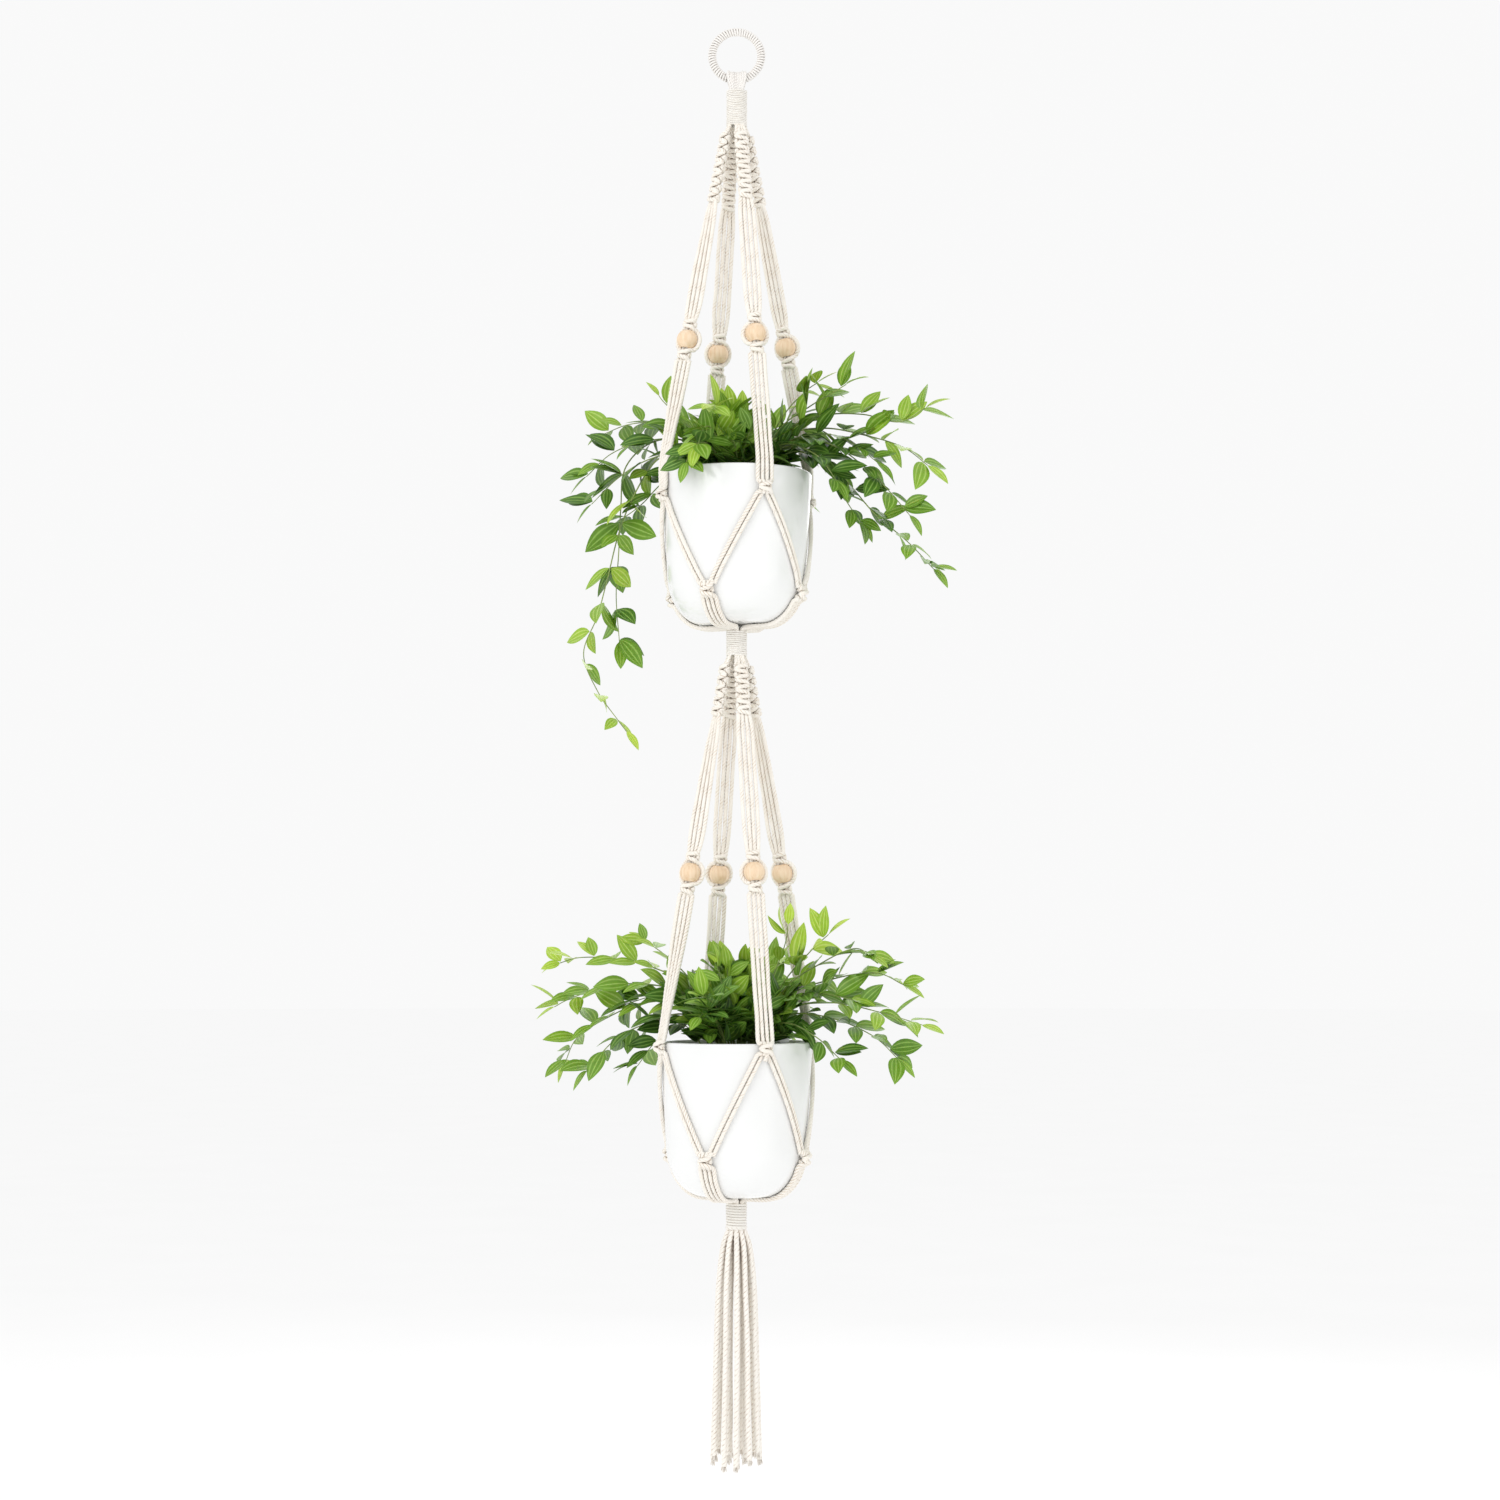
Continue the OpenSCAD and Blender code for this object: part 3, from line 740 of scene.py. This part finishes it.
def pot_outline(tier, inset, top_h):
    """The wall's outline as (radius, height) from the middle of the base up to top_h, moved in by inset."""
    line = []
    for t in np.linspace(90, 0, 24):
        t = math.radians(t)
        line.append((tier.base_r + (tier.corner_w - inset) * math.cos(t),
                     tier.corner_h - (tier.corner_h - inset) * math.sin(t)))
    return line + [(tier.wall_r(h) - inset, h) for h in np.linspace(tier.corner_h + 8 * MM, top_h, 6)]


def make_pot(tier):
    half = tier.wall / 2
    lip = tier.pot_h - half
    outer, inner = pot_outline(tier, 0, lip), pot_outline(tier, tier.wall, lip)
    lip_r = tier.wall_r(lip) - half
    rim = []
    for a in np.radians(range(20, 180, 20)):
        rim.append((lip_r + half * math.cos(a), lip + half * math.sin(a)))
    shape = Shape()
    shape.lathe([(0, 0)] + outer + rim + inner[::-1] + [(0, tier.wall)], 128, (0, 0, tier.base))
    name = tier.name + "_pot"
    finish_piece(shape.make(name + "_shell", GLAZE), name, [name])


SOIL_DEPTH = 20 * MM    # depth of the soil that is modelled


def make_soil(tier):
    """A lumpy disc of soil that sinks towards its edge."""
    low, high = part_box(tier.name + "_soil")
    top, r = high[2], (high[0] - low[0]) / 2
    rings, sides = 26, 90
    points, faces = [v(0, 0, top)], []
    for i in range(1, rings + 1):
        for k in range(sides):
            a = 2 * math.pi * k / sides
            q = r * i / rings
            lump = 0 if i == rings else dice.uniform(-1.2, 1.4) * MM
            points.append(v(q * math.cos(a), q * math.sin(a), top + lump - 1.2 * MM * (i / rings) ** 4))
    for k in range(sides):
        a = 2 * math.pi * k / sides
        points.append(v(0.97 * r * math.cos(a), 0.97 * r * math.sin(a), top - SOIL_DEPTH))
    points.append(v(0, 0, top - SOIL_DEPTH))
    for k in range(sides):
        m = (k + 1) % sides
        faces.append((0, 1 + k, 1 + m))
        for i in range(rings):
            a, b = 1 + i * sides, 1 + (i + 1) * sides
            faces.append((a + k, b + k, b + m, a + m))
        faces.append((1 + rings * sides + k, len(points) - 1, 1 + rings * sides + m))
    shape = Shape()
    shape.add(points, faces)
    bed = shape.make(tier.name + "_soil_bed", SOIL)
    finish_piece(bed, tier.name + "_pot", [tier.name + "_soil"])


# ---------- ring, folds and wraps ----------
RING_CORD_D = 2.9 * MM  # the thin cord wound round the ring
RING_CLOSE = 0.86       # one turn to the next on the ring's inner side, in that cord's thicknesses
TURN_POINTS = 14        # points in each turn of it


def make_ring():
    """The winding of the ring; returns the ring's centre, its middle radius and its half thickness."""
    low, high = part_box("ring_winding")
    section = (high[1] - low[1]) / 2
    middle_r = (high[0] - low[0]) / 2 - section
    centre = v(0, 0, (low[2] + high[2]) / 2)
    turns = int(2 * math.pi * (middle_r - section) / (RING_CLOSE * RING_CORD_D))
    wind_r = section - RING_CORD_D / 2
    path = []
    for i in range(turns * TURN_POINTS + 1):
        along, around = 2 * math.pi * i / (turns * TURN_POINTS), 2 * math.pi * i / TURN_POINTS
        r = middle_r + wind_r * math.cos(around)
        path.append(centre + v(r * math.cos(along), wind_r * math.sin(around), r * math.sin(along)))
    shape = Shape()
    shape.rope(np.array(path), RING_CORD_D, strands=3, lay=2.2, depth=0.16, sides=8)
    finish_piece(shape.make("ring_winding_cord", RING_COTTON), "ring", ["ring_winding"])
    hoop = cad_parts["ring_hoop"].data
    hoop.materials.clear()
    hoop.materials.append(STEEL)
    return centre, middle_r, section


FOLD_COUNT, FOLD_PITCH = 8, 2.8 * MM
FOLD_D = 4.0 * MM


def make_folds(centre, middle_r, section):
    """Eight cords folded over the ring's lower side; every second one lies a little lower."""
    wrap_low, wrap_top = [corner[2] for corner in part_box("top_wrap")]
    shape = Shape()
    for i in range(FOLD_COUNT):
        x = (i - (FOLD_COUNT - 1) / 2) * FOLD_PITCH
        rise = middle_r - math.sqrt(middle_r**2 - x * x)
        axis_z = centre[2] - middle_r + rise
        r = section + (2.2 if i % 2 else 2.9) * MM
        points = []
        for side in (-1, 1):
            line = [v(0.55 * x, side * 5.5 * MM, wrap_low + 2 * MM),
                    v(0.62 * x, side * 6.0 * MM, wrap_top - 4 * MM),
                    v(0.85 * x, side * (r - 1.0 * MM), axis_z - 6.5 * MM)]
            for degrees in (0, 35, 65):
                a = math.radians(degrees)
                line.append(v(x, side * r * math.cos(a), axis_z + r * math.sin(a)))
            points.append(line)
        path = smooth_path(points[0] + [v(x, 0, axis_z + r)] + points[1][::-1], ROPE_STEP)
        shape.rope(path, FOLD_D, turn=dice.uniform(0, 6), sides=10)
    finish_piece(shape.make("cord_folds_over_ring", RING_COTTON), "head", ["cord_folds"])


WRAP_POINTS = 36        # points in each turn of a wrap
END_CORD_D = 4.0 * MM   # the thicker turn that closes the bottom wrap


def make_wrap(node, body, cord, twisted_end=False):
    """A cord wound down round the bundle, its start tucked in, with a thicker last turn if wanted."""
    low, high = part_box(node)
    outer = (high[0] - low[0]) / 2
    r = outer - cord / 2
    pitch = 0.93 * cord
    turns = (high[2] - low[2] - cord) / pitch
    path = [v(0.8 * r * math.cos(-0.5), 0.8 * r * math.sin(-0.5), high[2] - cord)]
    for i in range(int(turns * WRAP_POINTS) + 1):
        a = 2 * math.pi * i / WRAP_POINTS
        loose = r + 0.12 * MM * math.sin(i * 0.37)
        z = high[2] - cord / 2 - pitch * i / WRAP_POINTS
        path.append(v(loose * math.cos(a), loose * math.sin(a), z))
    shape = Shape()
    shape.rope(np.array(path), cord, strands=3, lay=2.4, depth=0.12, sides=8)
    if twisted_end:
        ring_r = outer - END_CORD_D / 2 + 0.4 * MM
        ring = []
        for a in np.linspace(0, 2 * math.pi * 1.02, 80):
            ring.append(v(ring_r * math.cos(a), ring_r * math.sin(a), low[2] + END_CORD_D / 2))
        shape.rope(np.array(ring), END_CORD_D, strands=2, lay=2.6, depth=0.3, sides=12)
    finish_piece(shape.make(node + "_turns", WRAP_COTTON), body, [node])


def make_neck(tier, arms):
    """The sixteen cords that spread from a wrap to the four sinnets."""
    shape = Shape()
    for arm in arms:
        for side in (-1, 1):
            for x, y in ((CORE_X, 0), (KNOT_X * 0.9, side * 0.25 * KNOT_Y)):
                low = arm.at(0.8 * MM, side * x, y)
                high = v(low[0] * 0.55, low[1] * 0.55, tier.start + 5 * MM)
                middle = v(low[0] * 0.72, low[1] * 0.72, tier.start - 0.5 * MM)
                path = smooth_path([high, middle, low], ROPE_STEP)
                shape.rope(path, CORD_D * 0.86, turn=dice.uniform(0, 6))
    obj = shape.make(tier.name + "_neck_cords", COTTON)
    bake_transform(obj)


# ---------- tassel ----------
TASSEL_COUNT, INNER_COUNT = 16, 5
INNER_R, OUTER_R = 5 * MM, 11.5 * MM    # of the two rings of cords under the wrap
TASSEL_ROUTE = ((0, 0), (0.08, 0.3), (0.25, 0.6), (0.5, 0.75), (0.8, 0.9), (1, 1))  # (fall, spread)
TASSEL_SPREAD = 16 * MM                 # how far an outer cord moves outwards by its tip
TASSEL_D = 6.6 * MM
TASSEL_LENGTH = 277 * MM                # from the wrap to the longest CAD tip; these end just above it
FRAY, FIBRES = 9 * MM, 22               # length and number of the loose fibres at a tip


def tassel_cord(n, wrap_low):
    if n < INNER_COUNT:
        angle, start_r, grow = 360 * n / INNER_COUNT + 10, INNER_R, 0.4 * TASSEL_SPREAD
    else:
        angle = 360 * (n - INNER_COUNT) / (TASSEL_COUNT - INNER_COUNT)
        start_r, grow = OUTER_R, TASSEL_SPREAD
    share = 1 if n == 0 else 1 - 0.012 * ((n * 7) % 5)
    points = [place(start_r * 0.6, angle, wrap_low + 4 * MM)]
    swing = [dice.uniform(-1.3, 1.3) * MM for _ in TASSEL_ROUTE]
    for (fall, spread), side in zip(TASSEL_ROUTE, swing):
        r = start_r * (0.8 if fall == 0 else 1) + grow * spread
        z = wrap_low - 1.5 * MM - (TASSEL_LENGTH - 3 * MM) * share * fall
        points.append(place(r, angle, z) + across(angle) * side * min(1, fall * 6))
    path = smooth_path(points, ROPE_STEP)
    cut = int(FRAY / ROPE_STEP)
    shape = Shape()
    shape.rope(path[:-cut], TASSEL_D, lay=2.4, turn=dice.uniform(0, 6))
    tip = path[-cut - 1]
    down = unit(path[-1] - tip)
    a = unit(np.cross(down, v(1, 0.3, 0)))
    b = np.cross(down, a)
    for _ in range(FIBRES):
        turn, lean = dice.uniform(0, 2 * math.pi), dice.uniform(0.15, 1.0)
        out = a * math.cos(turn) + b * math.sin(turn)
        fall = FRAY * dice.uniform(0.6, 1.0)
        root = tip - down * 1.5 * MM + out * TASSEL_D * 0.36 * lean
        bend = ((0, 0), (0.4, 0.7 * MM), (0.75, 1.5 * MM), (1, 1.9 * MM))
        fibre = smooth_path([root + down * fall * part + out * bow * lean for part, bow in bend], 1.6 * MM)
        shape.tube(fibre, np.linspace(0.62, 0.3, len(fibre)) * MM, 5)
    name = f"tassel_cord_{n + 1:02d}"
    obj = finish_piece(shape.make(name + "_rope", TASSEL_COTTON), "tassel", [name])


# ---------- plants ----------
ARM_CLEAR = 11 * MM     # from a leaf to the middle of an arm
POT_CLEAR = 9 * MM      # from a leaf to the pot's side
OVER_RIM = 3 * MM       # height over the rim from which a leaf may lie above the pot


class Foliage:
    """Stems and leaves of one plant. A leaf is a folded, bent blade with its own map and tone."""

    ROWS, COLUMNS = 9, 6

    def __init__(self, tier, arms):
        self.tier, self.arms = tier, arms
        self.points, self.faces, self.uvs, self.tones = [], [], [], []
        self.stems = Shape()

    def clear_of_cords(self, p, reach):
        """Whether a ball round p is clear of every arm, of the net on the pot and of the pot."""
        for arm in self.arms:
            for turn in np.radians((-10, 0, 10)):
                c, s = math.cos(turn), math.sin(turn)
                q = v(p[0] * c - p[1] * s, p[0] * s + p[1] * c, p[2])
                down_arm = max(0, min(arm.bend_s, (q - arm.top).dot(arm.u)))
                if np.linalg.norm(q - (arm.top + down_arm * arm.u)) < reach + ARM_CLEAR:
                    return False
        outside = math.hypot(p[0], p[1]) >= self.tier.pot_r + POT_CLEAR + reach * 0.6
        return outside or p[2] - self.tier.base >= self.tier.pot_h + OVER_RIM

    def leaf(self, root, direction, up, length, tone):
        """Adds one leaf, unless it would lie too near a cord or the pot."""
        direction = unit(direction)
        across_leaf = unit(np.cross(direction, up))
        normal = np.cross(across_leaf, direction)
        width = length * dice.uniform(0.43, 0.52)
        droop = dice.uniform(0.1, 0.5)
        if not self.clear_of_cords(root + direction * length * 0.55, length * 0.42):
            return
        base = len(self.points)
        for i in range(self.ROWS + 1):
            t = i / self.ROWS
            half = width / 2 * (math.sin(math.pi * t ** 0.85) ** 0.85 if 0 < t < 1 else 0.02)
            centre = root + direction * length * (t - 0.12 * droop * t * t)
            centre = centre - normal * length * droop * 0.45 * t * t
            for k in range(self.COLUMNS + 1):
                x = 2 * k / self.COLUMNS - 1
                fold = 0.22 * half * abs(x) + 0.06 * half * math.cos(x * 8)
                self.points.append(centre + across_leaf * half * x + normal * fold)
                self.uvs.append((k / self.COLUMNS, t))
                self.tones.append(tone)
        c = self.COLUMNS + 1
        for i in range(self.ROWS):
            for k in range(self.COLUMNS):
                a, b = base + i * c + k, base + (i + 1) * c + k
                self.faces.append((a, a + 1, b + 1, b))

    def stem(self, points, thick, first, gap, size, tone):
        """A stem with pairs of leaves along it and one leaf at its tip."""
        path = smooth_path(points, 4 * MM)
        self.stems.tube(path, np.linspace(thick, thick * 0.45, len(path)), 6)
        lengths = distances(path)
        at, flip = first, 0
        while at < lengths[-1] + gap * 0.4:
            i = min(len(path) - 2, int(np.searchsorted(lengths, at)))
            forward = unit(path[i + 1] - path[max(0, i - 1)])
            side = unit(np.cross(forward, v(0, 0, 1) + 0.05 * v(dice.random(), dice.random(), 0)))
            up = np.cross(side, forward)
            share = at / lengths[-1]
            for hand in (-1, 1):
                turn = dice.uniform(-0.5, 0.5) + (math.pi / 2 if flip % 2 and dice.random() < 0.5 else 0)
                out = side * hand * math.cos(turn) + up * math.sin(turn)
                direction = out * dice.uniform(0.75, 1.0) + forward * dice.uniform(0.35, 0.9)
                direction = direction + v(0, 0, dice.uniform(-0.25, 0.2))
                face = up * dice.uniform(0.2, 0.8)
                face = face + v(dice.uniform(-0.5, 0.5), dice.uniform(-1.3, 0.1), dice.uniform(0.1, 0.6))
                long = size * dice.uniform(0.75, 1.15) * (1 - 0.3 * max(0, share - 0.6))
                shade = tone + dice.uniform(-0.16, 0.16) + 0.22 * max(0, share - 0.5)
                root = path[i] + unit(direction) * 2 * MM
                self.leaf(root, direction, unit(face), long, min(1, max(0, shade)))
            at += gap * dice.uniform(0.8, 1.2)
            flip += 1
        forward = unit(path[-1] - path[-3])
        self.leaf(path[-1], forward, v(0.1, -0.4, 0.9), size * 0.7, min(1, tone + 0.25))

    def make(self, name):
        """Turns the leaves and the stems into two objects."""
        mesh = bpy.data.meshes.new(name + "_leaves")
        mesh.from_pydata([list(p) for p in self.points], [], self.faces)
        mesh.polygons.foreach_set("use_smooth", [True] * len(mesh.polygons))
        uv = mesh.uv_layers.new(name="leaf")
        corner = np.zeros(len(mesh.loops), np.int32)
        mesh.loops.foreach_get("vertex_index", corner)
        uv.data.foreach_set("uv", np.array(self.uvs, np.float32)[corner].ravel())
        tone = mesh.attributes.new("tone", "FLOAT", "POINT")
        tone.data.foreach_set("value", np.array(self.tones, np.float32))
        mesh.materials.append(LEAF)
        leaves = bpy.data.objects.new(name + "_leaves", mesh)
        bpy.context.scene.collection.objects.link(leaves)
        body = self.tier.name + "_pot"
        finish_piece(leaves, body, [name])
        finish_piece(self.stems.make(name + "_stems", STEM), body, [])


# Long sprays: azimuth, then (reach, height above the rim) in millimetres, gap between leaves,
# leaf length and tone. Each one starts at SPRAY_ROOT.
SPRAY_ROOT = (15, -10)
SPRAYS = {
    "upper": (
        (64, ((60, 45), (110, 62), (160, 60), (205, 48), (236, 62)), 27, 46, 0.66),
        (68, ((60, 40), (110, 48), (165, 35), (210, 18), (240, -5)), 27, 50, 0.6),
        (72, ((60, 30), (105, 15), (140, -20), (170, -55), (210, -90), (240, -122)), 25, 42, 0.42),
        (66, ((70, 36), (120, 28), (160, 0), (190, -30), (215, -60)), 22, 42, 0.4),
        (60, ((60, 50), (100, 72), (130, 84), (150, 92)), 26, 46, 0.5),
        (74, ((70, 25), (110, 0), (135, -40), (150, -62)), 21, 40, 0.35),
        (66, ((65, 34), (115, 40), (150, 26), (180, 2)), 22, 44, 0.35),
        (58, ((60, 30), (110, 14), (140, -20)), 21, 42, 0.3),
        (62, ((60, 62), (90, 90), (108, 100)), 30, 40, 0.72),
        (246, ((60, 42), (110, 48), (148, 20), (155, -30), (158, -80), (162, -135), (158, -190)),
         50, 48, 0.42),
        (250, ((60, 30), (100, 25), (130, -15), (150, -60), (165, -115), (178, -160), (196, -205),
               (178, -250), (152, -285), (140, -300)),
         42, 40, 0.74),
        (242, ((60, 55), (110, 72), (150, 74), (185, 66)), 26, 42, 0.48),
        (246, ((60, 42), (115, 50), (165, 38), (200, 12)), 24, 44, 0.4),
        (252, ((60, 30), (110, 25), (150, 5), (185, -25)), 24, 44, 0.34),
        (240, ((55, 20), (100, 0), (130, -25), (158, -42)), 24, 42, 0.3),
        (248, ((60, 60), (92, 92), (100, 102)), 30, 36, 0.62),
        (156, ((65, 42), (115, 52), (165, 30), (192, -15)), 23, 44, 0.4),
        (150, ((65, 55), (110, 70), (150, 62)), 24, 44, 0.5),
        (162, ((70, 25), (120, 8), (150, -40)), 23, 44, 0.4),
        (336, ((55, 36), (84, 44), (104, 18)), 22, 44, 0.62),
        (328, ((56, 26), (92, 22), (106, 0)), 22, 40, 0.4),
        (344, ((46, 50), (74, 66), (92, 66)), 23, 44, 0.66),
    ),
    "lower": (
        (64, ((45, 70), (62, 112), (66, 136)), 32, 36, 0.76),
        (62, ((60, 66), (96, 104), (120, 124)), 27, 48, 0.78),
        (66, ((60, 60), (110, 92), (150, 108), (172, 100)), 24, 38, 0.55),
        (70, ((60, 50), (115, 72), (170, 80), (205, 66)), 23, 40, 0.62),
        (66, ((60, 36), (120, 46), (180, 36), (234, 22)), 23, 42, 0.6),
        (72, ((60, 30), (115, 28), (165, 8), (195, -18)), 22, 42, 0.42),
        (60, ((60, 22), (105, 8), (140, -18)), 20, 42, 0.36),
        (64, ((60, 46), (105, 56), (150, 50)), 20, 44, 0.5),
        (244, ((60, 60), (110, 86), (160, 96), (205, 97), (232, 90)), 26, 38, 0.72),
        (248, ((60, 50), (115, 66), (170, 62), (215, 48), (236, 38)), 23, 42, 0.66),
        (246, ((60, 40), (120, 44), (175, 24), (215, 0), (232, -28)), 23, 42, 0.62),
        (252, ((60, 30), (110, 20), (150, 0), (184, -36)), 22, 44, 0.4),
        (240, ((55, 62), (95, 98), (128, 118)), 28, 34, 0.6),
        (250, ((60, 25), (100, 0), (125, -30)), 21, 42, 0.34),
        (244, ((60, 44), (105, 52), (150, 42)), 21, 44, 0.45),
        (156, ((65, 45), (115, 56), (165, 34), (192, 0)), 23, 44, 0.5),
        (150, ((60, 62), (100, 88), (135, 90)), 24, 42, 0.6),
        (162, ((70, 25), (120, 12), (152, -20)), 23, 44, 0.4),
        (336, ((50, 36), (72, 50), (88, 54)), 21, 42, 0.5),
        (342, ((46, 54), (66, 82), (80, 92)), 25, 40, 0.66),
        (328, ((50, 26), (72, 34), (86, 30)), 20, 40, 0.36),
    ),
}
CROWN_TOP = {"upper": 88, "lower": 104}     # greatest height of a short stem, in mm above the rim
CROWN_STEMS = 52


def make_plant(tier, arms):
    """The long sprays of a plant and the short stems of its crown."""
    plant = Foliage(tier, arms)
    for angle, rest, gap, size, tone in SPRAYS[tier.name]:
        lean = dice.uniform(-4, 4)
        route = (SPRAY_ROOT, *rest)
        points = []
        for i, (r, h) in enumerate(route):
            points.append(place(r * MM, angle + lean * i / len(route), tier.rim + h * MM))
        plant.stem(points, 1.2 * MM, 36 * MM, gap * MM, size * MM, tone)
    for _ in range(CROWN_STEMS):
        angle, reach = dice.uniform(0, 360), dice.uniform(12, 74)
        height = dice.uniform(12, CROWN_TOP[tier.name]) * (1 - reach / 150)
        start = place(reach * 0.45 * MM, angle + dice.uniform(-20, 20), tier.rim - 20 * MM)
        end = place(reach * MM, angle, tier.rim + height * MM)
        middle = mix(start, end, 0.55) + v(0, 0, 10 * MM)
        plant.stem([start, middle, end], 1.0 * MM, 22 * MM, 18 * MM, dice.uniform(36, 50) * MM,
                   dice.uniform(0.0, 0.3) + 0.45 * max(0, height) / CROWN_TOP[tier.name])
    plant.make(tier.name + "_plant")


# ---------- studio ----------
def area_light(name, where, target, size, power):
    """A round lamp at one place, turned towards another."""
    data = bpy.data.lights.new(name, "AREA")
    data.energy, data.size, data.shape = power, size, "DISK"
    light = bpy.data.objects.new(name, data)
    light.location = where
    direction = Vector(v(*target) - v(*where))
    light.rotation_euler = direction.to_track_quat("-Z", "Y").to_euler()
    bpy.context.scene.collection.objects.link(light)


FLOOR_R = 40        # metres; wide enough to reach past the picture's edges
FLOOR_T = 0.01
FLOOR_DROP = 0.35   # from the bottom of the CAD box to the floor


def make_studio():
    """A white floor and background, with three lamps."""
    n = Nodes("floor")
    n.colour(n.ramp(n.noise(3, 2), [(0.3, (0.982, 0.982, 0.982)), (0.7, (0.99, 0.99, 0.99))]))
    n.set(Roughness=0.8, Specular_IOR_Level=0)
    floor = Shape()
    top = cad_bounds[0][2] - FLOOR_DROP
    low = top - FLOOR_T
    # The extra ring near the edge keeps the smooth shading of the top level.
    floor.lathe([(0, low), (FLOOR_R, low), (FLOOR_R, top), (FLOOR_R - FLOOR_T, top), (0, top)], 96)
    floor.make("floor", n.material)
    area_light("key", (-1.9, -2.6, 0.5), (0, 0, -0.85), 2.2, 28)
    area_light("fill", (2.4, -2.0, -0.6), (0, 0, -0.9), 2.4, 9)
    area_light("back", (0.6, 2.6, 0.6), (0, 0, -0.8), 2.2, 15)
    world = bpy.data.worlds.new("studio")
    world.use_nodes = True
    background = world.node_tree.nodes["Background"]
    background.inputs["Color"].default_value = (1, 1, 1, 1)
    background.inputs["Strength"].default_value = 0.95
    bpy.context.scene.world = world
    bpy.context.scene.view_settings.view_transform = "Standard"


# ---------- build ----------
make_folds(*make_ring())
make_wrap("top_wrap", "head", 2.3 * MM)
make_wrap("middle_wrap", "upper_tier", 2.6 * MM)
make_wrap("bottom_wrap", "lower_tier", 3.4 * MM, twisted_end=True)
for tier_name in TIERS:
    tier = Tier(tier_name)
    arms = [Arm(tier, side) for side in SIDES]
    for arm in arms:
        make_arm(tier, arm)
        make_leg(tier, arm)
        make_bead(tier, arm)
    make_cradle(tier)
    make_pot(tier)
    make_soil(tier)
    make_plant(tier, arms)
    make_neck(tier, arms)
for n in range(TASSEL_COUNT):
    tassel_cord(n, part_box("bottom_wrap")[0][2])
make_studio()
